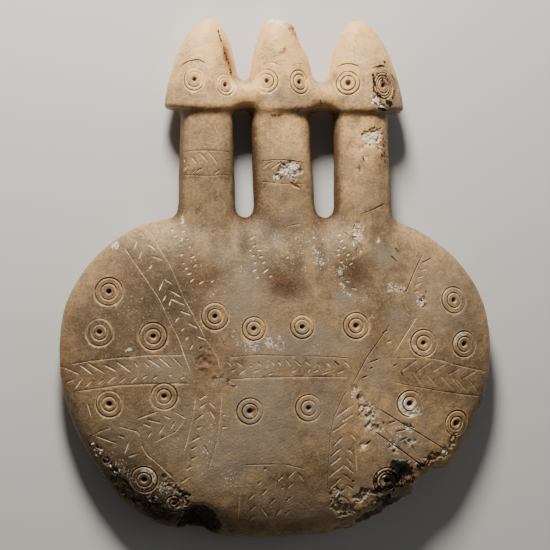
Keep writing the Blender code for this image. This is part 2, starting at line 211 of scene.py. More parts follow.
# Incised lines: their corners, depth, and tone from -1, filled with dark dirt, to 1, rubbed pale
LINES = (
    (((-61.7, 11.7), (-57.5, 5.1), (-52.4, -2.5), (-48, -9.3), (-44.2, -17.7), (-41.2, -23.4),
      (-38.9, -30.2), (-35.9, -37.8)), 0.26, 0.55),
    (((-50.9, 17.1), (-48.3, 10.9), (-44, 4), (-41, -3.2), (-38.9, -8.6), (-34.7, -16.2), (-30.6, -24.2),
      (-26.4, -30.3), (-24.8, -37.3)), 0.26, 0.5),
    (((-82.3, -34), (-73.5, -32.4), (-63.8, -31.3), (-51.8, -30.3), (-38.4, -30.4)), 0.26, 0.7),
    (((-80, -44.2), (-70.5, -42.7), (-63.1, -41.7), (-48.1, -41), (-35.8, -41.1)), 0.22, 0.6),
    (((-22.9, -31.2), (-11.7, -30.4), (5.8, -30.9)), 0.2, -0.1),
    (((6.6, -30.9), (16.8, -31.2), (26.2, -32)), 0.24, -0.4),
    (((-22.9, -39.8), (-12.5, -39.1), (5.8, -38.9), (25.4, -39.3)), 0.24, 0.5),
    (((43.8, -32), (55.6, -31.9), (61.9, -33), (70.5, -35.5), (82.2, -38)), 0.24, 0.6),
    (((41.8, -40.8), (46.2, -42.1), (62, -45.1), (70.6, -46.5), (81.8, -47.8)), 0.24, 0.2),
    (((56.5, 9.6), (51.2, 0.2), (47.9, -7.2)), 0.36, -0.9),
    (((42.1, -18), (36.6, -25.7), (32.2, -31.5), (26.3, -42.2)), 0.34, -0.7),
    (((53.3, -15), (47.1, -23.9), (43, -30)), 0.26, 0.7),
    (((25.2, -43.2), (22.7, -46.8), (19.1, -54.8), (17.6, -63.3), (17.1, -75), (17.1, -86)), 0.28, -0.2),
    (((27.5, -64.6), (28, -70.5), (28.6, -77.2)), 0.26, 0.5),
    (((-34.2, -45), (-35.5, -53), (-37.5, -62.6), (-39.2, -68.3)), 0.24, 0.5),
    (((-24.4, -43.6), (-25.2, -55.1), (-26.3, -63.4), (-28.1, -69.6), (-29.6, -74.9)), 0.22, 0.5),
    (((36.2, -51.2), (45.6, -56.8), (61, -65.9), (67.9, -70.3)), 0.38, -0.9),
    (((35.1, -60.1), (44.5, -66.6), (55.3, -74.4)), 0.38, -0.9),
    (((-16.6, -72.4), (-1.9, -72.3)), 0.34, -0.1), (((-1, -72.3), (9.2, -74.8)), 0.24, 0.6),
    (((-17.1, -82.1), (-17.3, -88), (-17.4, -94)), 0.22, 0.5),
    (((-43.9, -51.1), (-38.4, -54.3), (-41.9, -59.3), (-51.3, -64)), 0.28, 0.8),
    (((-64.5, -57.1), (-55.5, -59.6), (-56, -62.4)), 0.26, 0.7),
    (((-74, -61.5), (-70.3, -59.3), (-65.9, -57.5)), 0.24, 0.6),
    (((-55.8, -63.2), (-52.8, -68.2), (-49, -71.3), (-42.1, -77.9)), 0.26, 0.9),
    (((-25.6, -21.8), (-24.4, -24.6), (-22.9, -28.2)), 0.3, -0.1), (((0.2, 18.7), (8.2, 20.3)), 0.2, -0.6),
    (((30.7, 23.9), (34.7, 25.1), (41.1, 27.9)), 0.3, -0.8), (((23, 18.1), (27.3, 14.6)), 0.3, -0.8),
    (((27.3, 13.8), (31, 11.4)), 0.35, -0.8), (((-26.8, 58.5), (-24.7, 53.6)), 0.25, 0.9),
    (((-38, 47.6), (-29.8, 47.9), (-20.2, 47.6)), 0.13, 0),
    (((-38, 38.7), (-29.8, 38), (-20.2, 38.8)), 0.1, 0),
    (((-8.3, 44.1), (-0.9, 44.8), (9.6, 43.6)), 0.26, -0.5),
    (((-8.3, 36.2), (0.6, 35.3), (9.6, 35.5)), 0.14, 0.1), (((-60.8, -15.7), (-58.9, -13.5)), 0.2, 0.5),
    (((-75.6, -47.3), (-73.3, -54.9)), 0.2, 0.7),
    (((-39.6, 79.8), (-38.1, 81.2), (-35.7, 82.5), (-32, 82.7), (-29, 80.9)), 0.4, -1),
    (((-25.8, 80.4), (-23.4, 81.3), (-20.1, 80.8)), 0.2, -0.5),
    (((-7.9, 81.4), (-4.6, 82.7), (0.2, 80.9)), 0.22, -0.3),
    (((4.6, 81.4), (7.2, 82.3), (9.8, 81)), 0.18, -0.3),
    (((21.8, 80.6), (23.2, 81.7), (26.2, 82.6), (29.2, 81.9), (31.3, 80.6)), 0.42, -1),
    (((34.7, 80.4), (38.9, 81.8), (42.4, 81.2)), 0.4, -0.9),
)
LINE_HALF_WIDTH = 0.32
LINE_STEP = 2.0
LINE_RUN_OUT = 2.5
# The depth at which a line or stroke has its full width, and the share of it that a rubbed one has lost
FULL_DEPTH = 0.30
RUBBED_SHARE = 0.3
# What is closer than this to a line or stroke may take its tone
LINE_REACH = 0.9

# Short strokes by the band that they fill: depth, tone, and X, Y of both ends of each
STROKES = (
    (0.34, 0.8, (
        (-57.4, 9.7, -56.1, 13.2), (-55.6, 6.3, -54.6, 9.3), (-51.9, 2.5, -50.8, 4.2),
        (-48.3, -5.9, -46.7, -2.1), (-46.8, -9.7, -45.7, -7.4), (-44.6, -11.6, -43.8, -9.3),
        (-42.4, -17.7, -40.8, -15.8), (-40.1, -21.1, -38.9, -19.9), (-38.2, -24.5, -37.3, -23),
        (-36.7, -28.3, -35.5, -26), (-54.8, 16.7, -53.1, 14.7), (-52.1, 12, -49.5, 9.9),
        (-50.7, 7.4, -47, 6.1), (-46.4, -1.3, -43, -3.2), (-44.2, -5.5, -40, -8.2),
        (-43.8, -8.9, -38.5, -11.2), (-40.4, -13.5, -36.3, -15), (-37.4, -18.1, -33.6, -20),
        (-34, -23, -30.2, -24.5),
    )),
    (0.32, 0.8, (
        (-84.1, -34.9, -78.3, -37.4), (-77.9, -34, -73.5, -37.3), (-74.9, -33.4, -69, -36.9),
        (-69, -33.9, -64.6, -36.2), (-64.2, -32.8, -59.3, -36.4), (-57.8, -32.8, -56.3, -34.7),
        (-54.1, -32.8, -52.2, -34.7), (-52.6, -31.7, -48.1, -34.7), (-48.4, -31.2, -44.3, -34.7),
        (-43.1, -31.3, -39.7, -34.7), (-83, -41, -79.7, -39.3), (-79.7, -43.1, -77.2, -39.3),
        (-75.7, -42.3, -73.5, -39.6), (-71.3, -41.1, -69, -39.2), (-67.9, -40.7, -64.9, -38.1),
        (-63.4, -40.7, -60.8, -38.5), (-59.3, -40.7, -56.3, -38.1), (-54.8, -39.2, -52.6, -37.7),
        (-50.7, -39.2, -48.8, -38.1), (-44.7, -38.1, -43.5, -37.4), (-40.5, -39.3, -38.6, -38.2),
    )),
    (0.32, 0.6, (
        (16.1, -33.3, 17.7, -35.2), (23, -32.9, 25.4, -35.3), (-5.4, -32.6, -4.2, -34.4),
        (-6.6, -37.9, -4.4, -37), (-22.5, -32.6, -20.6, -34.7), (-19.1, -32.8, -16.6, -34.7),
        (-13.7, -34.2, -12.9, -34.9), (-10.6, -33, -9.2, -34.8), (-2.8, -32.7, -1.5, -34.5),
        (0.3, -32, 2.2, -34.9), (3.8, -32.4, 6.2, -34.9), (7.7, -32.8, 9.9, -34.6),
        (12.4, -33.6, 13.6, -34.8), (-21, -36.6, -19.5, -35.8), (-17.9, -37.8, -15.2, -35.7),
        (-12.5, -36.9, -10.2, -36.1), (2.6, -37, 4.2, -36.2), (8.9, -37, 9.9, -35.6),
        (10.8, -37.1, 13.2, -36.3), (14.4, -37.9, 17.5, -36.7), (20.3, -37.7, 23, -36.6),
    )),
    (0.42, -0.8, (
        (19.1, -32.9, 21.1, -34.8), (55.2, 4.9, 59.2, 6.7), (32.9, -33.8, 36.9, -32.3),
        (33.3, -36.1, 34.5, -35.5), (30.2, -39.6, 32.5, -38.8), (44.4, 10.7, 45.9, 8.8),
        (42.6, -35.4, 44.2, -34.3), (45.8, -37.4, 47, -39.4), (42.5, 7.6, 44.9, 5.3),
        (38.2, -22.6, 40.6, -21.1),
    )),
    (0.15, 0.45, (
        (46.4, -37, 52.2, -33), (52.8, -37.2, 58, -33.6), (59, -37.4, 64, -34.6), (65.3, -39, 70.8, -36.2),
        (71.8, -40.4, 77, -37.8), (50.7, -37.5, 54.4, -42.4), (56.5, -38.8, 61, -43.4),
        (62.3, -39.4, 67.4, -44.4), (68.8, -40.6, 73.9, -45.6), (75, -41.6, 79, -46.2),
        (48.6, -40.4, 50.4, -42.4), (66, -39, 70.2, -43.6),
    )),
    (0.26, 0.6, (
        (54.2, 1.8, 57.2, 2.7), (52.8, -1, 55.4, -0.2), (51.9, -4.1, 54.4, -2.9), (51, -6.8, 53.1, -6),
        (39.8, -26.1, 41.8, -25.4),
    )),
    (0.3, 0.8, (
        (-46.5, -53.3, -44.2, -54.3), (-54.4, -56.3, -51.4, -57.5), (-52.5, -54.8, -47.6, -56),
        (-42.3, -55.3, -43.8, -58.3), (-46.3, -56.6, -48.3, -60.2), (-51, -59, -52.5, -61.7),
        (-63.7, -60.6, -61.1, -61.7), (-71.8, -61.1, -64.7, -63.7), (-59.5, -62.9, -61, -67.7),
        (-59.8, -69, -56.5, -67.8), (-56.3, -54.4, -49.2, -51.8),
    )),
    (0.28, 0.8, (
        (-33.2, -47.3, -30.2, -45.5), (-33, -50.4, -30.6, -48.7), (-34.4, -54.9, -31.3, -52.7),
        (-34, -58.4, -32.1, -57.3), (-36.2, -63.3, -32.4, -61.3), (-36.2, -66.4, -33.9, -65.1),
        (-36.1, -70.2, -33.9, -68.9), (-38, -74.1, -35.7, -72.7), (-39.8, -79.1, -36.8, -76.8),
        (-29.4, -48.1, -27.1, -50.4), (-29, -51.6, -27.1, -54.6), (-31.3, -64.9, -29.3, -68.4),
        (-24, -53.5, -23.3, -52.8), (-24.4, -58.1, -22.5, -57.6),
    )),
    (0.28, 0.7, (
        (-2.5, -78.9, -0.2, -76.6), (1.4, -77.8, 4.1, -75.1), (-10.2, -80.3, -8.7, -78.7),
        (-1.2, -82, -0.1, -81.2), (-8, -74.9, -6.9, -73.7), (5.2, -75.9, 7.7, -79),
        (1.5, -81.7, 3.8, -79.4), (0.9, -87.2, 2.8, -85.2), (-12.9, -90.5, -10.7, -88.1),
        (-13, -94.9, -10.9, -92.5), (-8.7, -89, -5.8, -93), (-2.7, -92.7, -0.9, -89.5),
        (0.5, -92.8, 2.7, -90.4), (-13.5, -86.1, -11.7, -83.8), (-5.3, -87.8, -3, -85.5),
        (-8.5, -84.2, -6.3, -81.9),
    )),
    (0.26, 0.75, (
        (20.3, -54.4, 26.6, -49.9), (18.8, -60.2, 23.9, -56.8), (19.2, -65.7, 22.7, -62.2),
        (18.3, -69.7, 22, -66.5), (18, -73.2, 22, -70), (17.8, -77.5, 22.9, -73.5),
        (18.1, -82.4, 22.3, -78.2), (19.8, -86, 22.1, -82.9), (25.9, -61.1, 27.9, -63.5),
        (22.2, -56.3, 26.8, -53.5), (24.8, -66.9, 26.8, -68.9), (24, -70, 26.5, -72.8),
        (23.3, -73.1, 27.4, -76.3), (23.4, -77, 26.3, -79.1), (24.8, -81, 27.7, -83),
        (24.2, -86.1, 26.8, -88.6),
    )),
    (0.3, -0.4, (
        (40.7, -57.5, 44.3, -56.4), (44, -60.7, 47.7, -60), (45.3, -64.6, 49, -62.8),
        (39.9, -59.8, 41.2, -62.6), (47.3, -64.3, 48.7, -67.5), (50.7, -66.3, 52.5, -69.2),
    )),
    (0.32, 0.5, (
        (-38.7, 46.1, -37.1, 43.2), (-35, 45.1, -33.2, 42.7), (-32.4, 47, -29, 43.5),
        (-29, 47.4, -25.5, 43.2), (-37.8, 40.2, -36.4, 42.4), (-35.4, 38.9, -33.2, 40.8),
        (-33.9, 39.4, -31.3, 41.2), (-26.7, 38.9, -24.3, 40.5), (-7.3, 41.5, -4.4, 43.8),
        (-4.3, 41.1, -0.5, 43.8), (0.6, 40.7, 3.4, 42.7), (3.8, 43.5, 6.2, 41.2),
    )),
    (0.42, 1, (
        (-43.1, 17, -41.9, 17.8), (-42.1, 14.7, -40.9, 15.5), (-38.6, 16.7, -37.8, 17.2),
        (-37.6, 13.6, -36.4, 14.3), (-40.4, 11.3, -39.2, 12), (-37, 10.5, -35.8, 11.3),
        (-40.1, 7.4, -38.8, 8.4), (-35.9, 6.7, -34.6, 7.6), (-39.4, 4.4, -38.3, 5.1),
        (-35.3, 3.2, -33.7, 4.6), (-38.3, 2.5, -37.2, 3.2), (-37.6, 0.4, -35.9, 1.1),
        (-36.5, -2.5, -35, -1.1), (-33.1, -3.2, -31.2, -1.9), (-28.5, -2.5, -27.3, -1.7),
        (-12.8, 13.8, -11, 15.2), (-12, 10.9, -10.6, 11.9), (-13.5, 9.4, -12.3, 10),
        (-10.3, 9.6, -8.4, 9.8), (-12.4, 7.3, -11.2, 7.9), (-9.7, 7, -8.1, 7.4), (-11.9, 4.7, -10.7, 5.1),
        (-8.6, 4.6, -7.4, 5.4), (-12.6, 1.7, -10.6, 2.5), (-8.3, 1, -6.3, 2.7), (-11.1, -1, -9.9, -0.4),
        (-5.6, -0.6, -4.8, 0.4), (0.9, 6.7, 1.9, 7.4), (21.9, 15.3, 23.1, 16.1), (22.5, 13, 23.9, 14),
        (23, 10.3, 24.7, 11.4), (21, 9.5, 22.1, 10.1), (20.9, 7.7, 22.1, 8.3), (24.5, 7.5, 25.9, 8.7),
        (22, 5, 23.2, 5.4), (25.5, 4.1, 27.1, 5.2), (24.1, -2.1, 25.7, -2.5), (26.4, -4.8, 28.4, -5.2),
    )),
)
STROKE_HALF_WIDTH = 0.38
STROKE_STEP = 1.2
# Past each end a stroke goes on for this share of its length and runs out
STROKE_TAIL = 0.12

# In a table of ovals on the face, X, Y, the two half sizes and the turn in degrees come first in each row

# Soft swells and hollows of the face, with their height
SWELLS = (
    (-31.2, 11.3, 6.2, 7.8, 0, 0.8), (-1.1, 6.7, 7, 7.8, 0, 1.1), (28, 10.6, 6.6, 6.8, -10, 1.1),
    (-14.9, 11.3, 3, 6.2, 0, -0.7), (14.1, 5.2, 3, 8.5, 0, -0.8), (27.4, 0, 6.4, 6, -30, -0.9),
    (0.6, -6, 6.2, 3.5, 0, -0.5), (-29.6, -2.9, 5.4, 3.5, 0, -0.45), (43.6, -9.5, 5.4, 4.7, 0, 0.35),
    (-66.7, -9.3, 9.7, 13.6, 0, 0.25), (-48.1, -28.3, 7.8, 5.4, 0, -0.3), (-9.8, -47.6, 15.5, 11.6, 0, 0.3),
    (17.5, -55.6, 5.4, 11.6, 0, -0.3), (61.9, -21.3, 7.8, 11.6, 0, 0.25), (-31, -35.9, 5.4, 6.2, 0, -0.25),
    (-63, -45.3, 9.3, 8.5, 0, 0.2), (-17.2, -78.2, 11.6, 7.8, 0, -0.2), (-29, 45, 5, 6, 0, 0.25),
    (2, 48, 5, 5, 0, 0.2), (33, 36, 5, 6, 0, -0.25),
)

# Worn places of the face, with the depth lost, the roughness, and how chalky they are
SCARS = (
    (3.4, 40.8, 5, 3.8, -10, 0.55, 0.42, 0.54), (-1.6, 38.6, 2.8, 1.8, 20, 0.4, 0.26, 0.6),
    (35.8, 54.6, 4.4, 3.6, 12, 0.55, 0.4, 0.66), (38.4, 50.6, 1.6, 2.8, 20, 0.35, 0.3, 0.58),
    (31.4, 50, 2, 0.8, 40, 0.25, 0.25, 0.6), (32.9, 45.4, 2.4, 0.9, 50, 0.3, 0.3, 0.6),
    (30.4, 41.8, 1, 0.8, 50, 0.3, 0.3, 0.65), (29.1, 18.5, 1.5, 3.1, -20, 0.3, 0.4, 0.5),
    (28.8, 13.8, 2.8, 1.3, 35, 0.2, 0.35, 0.48), (29.8, 9.9, 2.7, 1.5, 20, 0.2, 0.3, 0.4),
    (22.2, 0.6, 1.6, 2.5, 30, 0.2, 0.45, 0.55), (27.2, -43.6, 1.8, 1.2, -50, 0.2, 0.3, 0.5),
    (29.6, -47.6, 1.5, 2.2, 20, 0.25, 0.34, 0.52), (32.2, -52.6, 3.6, 4.6, 40, 0.3, 0.42, 0.46),
    (34.6, -58.6, 3.6, 2.2, -20, 0.22, 0.38, 0.44), (49.6, -59.4, 2.6, 1.6, -20, 0.25, 0.45, 0.6),
    (50.6, -64.8, 3.2, 1.3, -10, 0.25, 0.45, 0.52), (43, -66.6, 2, 3.4, 30, 0.18, 0.4, 0.52),
    (31, -65.6, 1.7, 1.2, 30, 0.7, 0.4, 0.8), (58.6, -71.6, 5.6, 2.2, 20, 0.45, 0.7, 0.25),
    (64.6, -69.2, 2.4, 2.2, 0, 0.4, 0.6, 0.62), (68, -65, 2, 3.4, -20, 0.4, 0.5, 0.35),
    (32.1, -85, 5.6, 2.4, 20, 0.5, 0.65, 0.42), (24.6, -90.5, 6.6, 3, -25, 0.55, 0.65, 0.4),
    (40, -87.6, 5, 2.4, 15, 0.6, 0.75, 0.35), (20.6, -84, 3.4, 2.6, -20, 0.2, 0.45, 0.3),
    (-72.4, -65.4, 2.4, 1.4, -45, 0.45, 0.8, 0.55), (-70.4, -67.6, 1.8, 1.8, -50, 0.35, 0.8, 0.5),
    (-67, -71.4, 2.6, 1.4, -60, 0.35, 0.8, 0.5), (-64.4, -74.8, 2.6, 1.4, -60, 0.35, 0.7, 0.48),
    (-61.4, -81, 7, 2.6, -54, 0.3, 0.24, 0), (-50, -88.5, 8, 3.6, -28, 0.25, 0.22, 0),
    (-43.2, -79.6, 6, 1.8, -38, 0.18, 0.4, 0.34), (-39.6, -85.4, 4, 3.6, -30, 0.3, 0.55, 0.36),
    (-38.4, -92, 1.8, 4.4, -8, 0.25, 0.5, 0.36), (37.2, 67.4, 2.6, 1.5, -25, 0.55, 0.55, 0.85),
    (39.4, 65.6, 1.6, 1, -40, 0.5, 0.45, 0.6), (35.4, 69.4, 1.1, 0.7, -20, 0.2, 0.2, 1),
    (-1.3, 99, 4.8, 1.4, 0, 0.25, 0.5, 0.66), (4.6, 96.5, 1.8, 3.4, 15, 0.6, 0.35, 0.1),
    (46.4, -5.3, 3.6, 1.1, -20, 0.15, 0.4, 0.48), (55.2, -9.6, 1.3, 3, 0, 0.25, 0.45, 0.4),
    (-30.6, -32.6, 3.8, 5.6, -22, 0.15, 0.3, 0.16), (-26.4, -38.6, 2.2, 2.4, -20, 0.18, 0.34, 0.22),
    (-20.4, -41.8, 3.4, 0.9, -35, 0.15, 0.4, 0.4), (49.4, -53.6, 3.2, 0.9, -5, 0.4, 0.4, 0.6),
    (50, -51.4, 1, 0.9, 0, 0.1, 0.1, 0.8), (45.4, -49.6, 0.7, 2.2, 0, 0.2, 0.25, 0.6),
    (-60.1, -28.2, 1.6, 0.8, 30, 0.15, 0.25, 0.7), (-12.1, -52.1, 1.9, 1.7, 0, 0.32, 0.03, 0),
    (49.6, -50, 2.6, 2.6, 0, 0.02, 0.1, 0.66),
)
# The finer mesh: how far it reaches, with an oval's edge at 1, round scars and round those rougher than
# DEEP_SCAR, its margin round a mark, and the height of a crust that does without it
SCAR_REACH = 1.3
DEEP_SCAR = 0.35
DEEP_REACH = 1.15
MARK_MARGIN = 1.2
FLAT_CRUST = 0.06

# Single gouges in the worn places: both ends, depth, half width, and tone
GOUGES = (
    ((2.4, 36.2, 7.4, 33.3), 1.1, 0.95, 0.4), ((-3.4, 38.4, -0.6, 39.4), 0.6, 0.7, -0.6),
    ((34.4, 55.8, 37.8, 56.4), 0.8, 0.8, -0.6), ((37.8, 56.4, 40, 57.8), 0.5, 0.55, -0.6),
    ((7, 42.6, 7.6, 38.4), 0.55, 0.6, -0.5), ((31.2, -65.8, 34.4, -63.6), 0.8, 0.6, -1),
    ((34.8, 24.8, 41, 28.4), 0.3, 0.4, -0.9), ((26.6, -79.2, 27.8, -79.9), 0.8, 0.6, -1),
    ((38.6, -56.2, 39, -58.2), 0.5, 0.5, -0.9), ((34.9, 68.2, 38.6, 65), 0.5, 0.55, -1),
    ((-33.8, -28.4, -31.6, -27.2), 0.35, 0.5, -0.8),
)
GOUGE_STEP = 0.8
GOUGE_RUN_OUT_SHARE = 0.4

# Black or brown deposits, with their height and darkness
CRUSTS = (
    (46.8, -74.6, 6.6, 3.2, -6, 0.35, 0.88), (43.1, -80, 5, 4.6, 20, 0.15, 0.74),
    (54.6, -74, 3, 1.3, 0, 0.25, 0.72), (46, -77, 9, 7, 10, 0.1, 0.56),
    (37.6, -83.2, 3.2, 1.5, 30, 0.2, 0.74), (36.2, -78.4, 0.9, 3, -10, 0.15, 0.7),
    (50.5, -79.6, 4, 2.4, 20, 0.25, 0.58), (38.6, -87.4, 6.5, 2.6, 15, 0.2, 0.5),
    (30, -92, 7, 2.4, 20, 0.15, 0.24), (36, 76.4, 0.9, 3.4, 8, 0.1, 0.74),
    (35.6, 71.6, 0.7, 2.4, -12, 0.1, 0.66), (37.4, 78.6, 2, 1.1, -20, 0.08, 0.52),
    (38.9, 81.6, 2.6, 0.8, 10, 0.08, 0.76), (44.6, 77.4, 0.7, 2.4, 24, 0.05, 0.52),
    (44.4, 70.6, 0.8, 3, -18, 0.08, 0.54), (37.9, 69.9, 2.4, 0.8, -40, 0.15, 0.7),
    (41.8, 67.2, 2.2, 1.2, -30, 0.25, 0.8), (39.6, 64.8, 2.4, 0.6, -12, 0.15, 0.85),
    (42.4, 74.4, 1.9, 6, 12, 0.05, 0.42), (39.8, 75.4, 1.4, 2.6, 0, 0.05, 0.52),
    (40.9, 83.5, 0.6, 0.6, 0, 0.1, 1), (-24, 92.6, 0.6, 3.4, 18, 0.05, 0.8),
    (-22, 86, 0.8, 4.8, 16, 0.12, 0.5), (-20.2, 79.8, 1, 3.2, 14, 0.15, 0.54),
    (-0.5, 86.4, 3, 0.3, 42, 0.08, 0.55), (1.2, 87.8, 1.2, 0.6, 20, 0.1, 0.52),
    (-3, 61.9, 2.6, 0.8, 5, 0.1, 0.52), (40.6, 46.4, 1.7, 4, 8, 0.12, 0.5),
    (40.4, 52, 0.9, 2.6, 5, 0.1, 0.48), (-29.1, 74.9, 1.3, 0.3, 0, 0.05, 0.6),
    (-2.6, 65.6, 0.4, 3, 0, 0.05, 0.45), (15.2, 67, 0.5, 1.8, -10, 0.05, 0.55),
    (54.5, -9.7, 0.5, 0.5, 0, 0, 1), (56.4, -6.4, 0.7, 0.5, 0, 0, 1), (55.5, -8, 0.5, 0.4, 0, 0, 0.9),
    (0.9, 23.4, 0.5, 0.5, 0, 0, 0.8), (60, -72.6, 4, 1, 25, 0.2, 0.5),
    (69.6, -63.6, 1.2, 1.4, 0, 0.15, 0.6),
)

# Brown and orange stains that are colour alone, with their strength
STAINS = (
    (-2.6, -1.4, 7, 4, -15, 0.25), (27.4, 1, 7.4, 7, 0, 0.24), (-30.2, -33.7, 5, 7, -25, 0.34),
    (-22, -41.5, 3.6, 1.8, -30, 0.25), (59.5, -70.6, 6, 3.2, 25, 0.6), (40.2, 48.6, 2.6, 6.4, 8, 0.75),
    (-21.5, 85.4, 1.9, 7.4, 17, 1), (-20.3, 80.4, 1.9, 2.6, 17, 1), (39.6, 71, 3.4, 9, 8, 0.3),
    (-2.2, 62.3, 3.2, 1.3, 0, 1), (5.6, 95.2, 2.2, 3.4, 15, 1), (-15, 63.6, 6, 1.8, 0, 0.55),
    (17, 63.6, 6, 2, 0, 0.6), (-0.1, 86.4, 3.8, 0.9, 34, 1), (1.6, 87.8, 1.6, 1.2, 20, 1),
    (-13, 22, 5, 5, 0, 0.18), (17, 20, 5, 6, 0, 0.22), (10, -84, 16, 9, 0, 0.25), (25, -76, 7, 10, 0, 0.14),
    (-12.1, -51.9, 1.9, 1.8, 0, 0.9), (-84, -38, 2.6, 16, 0, 0.6), (36, -22, 3, 7, -20, 0.22),
    (47, -37, 5, 3, 0, 0.18), (-64, 2, 8, 10, -40, 0.2), (-33, 2, 5, 12, 12, 0.25),
    (28, -55, 4, 9, 0, 0.14), (42, -60, 4, 6, 0, 0.12), (-29, 63.4, 12, 1.4, 0, 0.5),
    (33, 63.4, 12, 1.4, 0, 0.55), (84, -34, 2, 14, 0, 0.35),
)

# How deep the patina is, from the foot of the disc to the tops of the heads, with painted shade in it that
# makes it darker towards the foot and lighter up the heads: Y, and depth from 0 to 1
PATINA_AND_SHADE_BY_HEIGHT = (
    (-102, 0.66), (-82, 0.56), (-55, 0.52), (-30, 0.54), (-5, 0.6), (18, 0.6), (40, 0.56), (66, 0.49),
    (80, 0.2), (98, 0.05),
)

# Ovals in which it is deeper or thinner than that, with the change; the rows marked below paint shade or
# light
TONE_PATCHES = (
    # The three ovals just under the heads are painted light over the heads' cast shadow
    (-29, 62, 10, 2.6, 0, -0.16), (1, 62, 10, 2.6, 0, -0.16), (31, 62, 10, 2.6, 0, -0.16),
    (-12.2, -51.7, 1.7, 1.7, 0, 0.34), (-66.8, -20.7, 22, 27.2, 0, 0.23), (-44, -4, 13, 13, 0, 0.16),
    (-54.4, 19.1, 13.2, 6.2, -35, -0.1), (53.7, 17.1, 13.2, 7, 40, -0.06), (-30.1, 36.6, 7, 15.5, 0, 0.08),
    (-2.6, -1.6, 7.5, 5, -25, 0.15), (11.5, 3, 3.2, 10, 0, -0.15), (27, 1.4, 8.5, 8.5, -45, 0.2),
    (37.8, -19.1, 3.5, 6.2, 0, 0.12), (-31, 4.4, 3.5, 2.7, 0, 0.08), (-19.5, -36, 3.5, 7, -35, 0.2),
    # Below, the last oval (-58.9, -80) is partly the lower left's dark brown and partly painted shade
    (-31, -26.4, 6.2, 11.6, -20, 0.12), (34.1, -26.8, 3.9, 3.9, 0, 0.12), (-58.9, -80, 19, 9, -42, 0.34),
    (6.1, -78.6, 15.5, 7.8, 0, 0.08), (2, 4, 20, 10, 0, 0.13), (18, -28, 8, 5, 0, -0.14),
    (-56, 10, 16, 12, 0, 0.08), (66, -62, 8, 12, 0, -0.1), (27, -87, 9, 6, -15, -0.26),
    # Below, the last oval (-28, -98) is painted shade in the chip
    (0, -94, 28, 5, 0, -0.08), (46, -60, 14, 12, 0, -0.2), (-28, -98, 12, 8, 0, 0.14),
    (50.3, -37.5, 3.9, 3.5, 0, 0.14), (64, 0, 14, 20, 0, -0.1), (74, -20, 6, 18, 0, 0.12),
    # Below, the last oval (-37.9, -89.7) is painted shade at the lower left, by the chip
    (-13.9, 21.5, 3.1, 3.9, 0, 0.2), (15.4, 20.8, 3.1, 3.9, 0, 0.25), (-37.9, -89.7, 15.5, 7.2, -20, 0.24),
    (29.7, -75.2, 7.8, 10.1, 0, 0.02), (33, 54, 6, 8, 0, -0.2), (2, 52, 7, 8, 0, -0.1),
    # Below, the last oval (1, 68.5) is painted shade on the middle head's lower face
    (-27, 88, 2.5, 9, 16, 0.1), (4.5, 94, 3, 6, 15, 0.14), (1, 68.5, 12, 5, 0, 0.26),
    (-33, 71, 9, 4, 0, 0.06), (34, 90, 9, 7, 0, -0.06), (33, 67.5, 8, 2.6, 0, 0.12),
    (-21.4, 40, 3, 18, 0, 0.14), (-31, 34, 7, 12, 0, 0.07), (-60, -60, 14, 12, 0, 0.07),
    (-4, -42, 14, 7, 0, 0.08), (-38, 84, 4, 10, -16, 0.13), (-37, 70, 6, 4, 0, 0.1),
    (-5, 88, 3, 7, -15, 0.12), (-1.2, 70, 1.2, 5, 0, 0.16), (36, 86, 4, 7, 15, 0.12),
    (41.6, 75.4, 4.4, 8, 8, 0.32), (38.6, 45, 3.6, 7, 0, 0.16), (37.6, 30, 5, 9, 0, 0.1),
    # Below, (-48, -91) is partly dark brown and partly painted shade at the lower left; (-15, 66.5) and the
    # next line's (17.5, 66.5) are painted light on the ties' undersides, over their shadow
    (-48, -91, 9, 5, -28, 0.26), (-22, 82, 3.4, 9, 16, 0.1), (-15, 66.5, 7, 4.5, 0, -0.3),
    (17.5, 66.5, 7, 4.5, 0, -0.3), (-26, 70, 5, 3, 0, 0.08), (-9.5, 44, 3.5, 16, 0, 0.16),
    (31, 56, 9, 6, 0, -0.14),
)

# Thin grey bloom, with its strength
BLOOM = (
    (-15.5, -9.4, 9.5, 15.5, -10, 0.75), (5.8, -26.7, 23.3, 8.5, 0, 0.9), (-9, -55.2, 17.5, 19.1, 0, 0.95),
    (23.6, -9.4, 5.7, 6.2, -30, 0.75), (-25.2, -68.5, 13.6, 14.2, 0, 0.95),
    (13.6, -50.9, 10.5, 14.6, 0, 0.8), (-42.4, -57.9, 13.6, 13.6, 0, 0.8),
    (-46.2, -35.8, 13.2, 6.2, 0, 0.6), (3, 23.4, 7, 3.9, 0, 0.35), (40.1, 8, 7, 6.2, 0, 0.5),
    (44.7, -16.5, 5.7, 5.4, 0, 0.65), (-61.2, -58.6, 8.8, 8.8, 0, 0.5), (-24, 7.8, 5.4, 6.2, 0, 0.5),
    (19.7, -69.2, 7.2, 9.8, 0, 0.6), (1, 44.6, 6.2, 4.7, 0, 0.35), (30.8, 83.9, 4, 5, 0, 0.3),
    (8, -88, 24, 9, 0, 0.8), (36, -38, 6, 8, 0, 0.6), (64, -12, 18, 26, 0, 0.42),
    (48, -60, 16, 14, 0, 0.72), (34, -82, 14, 12, 0, 0.5),
)

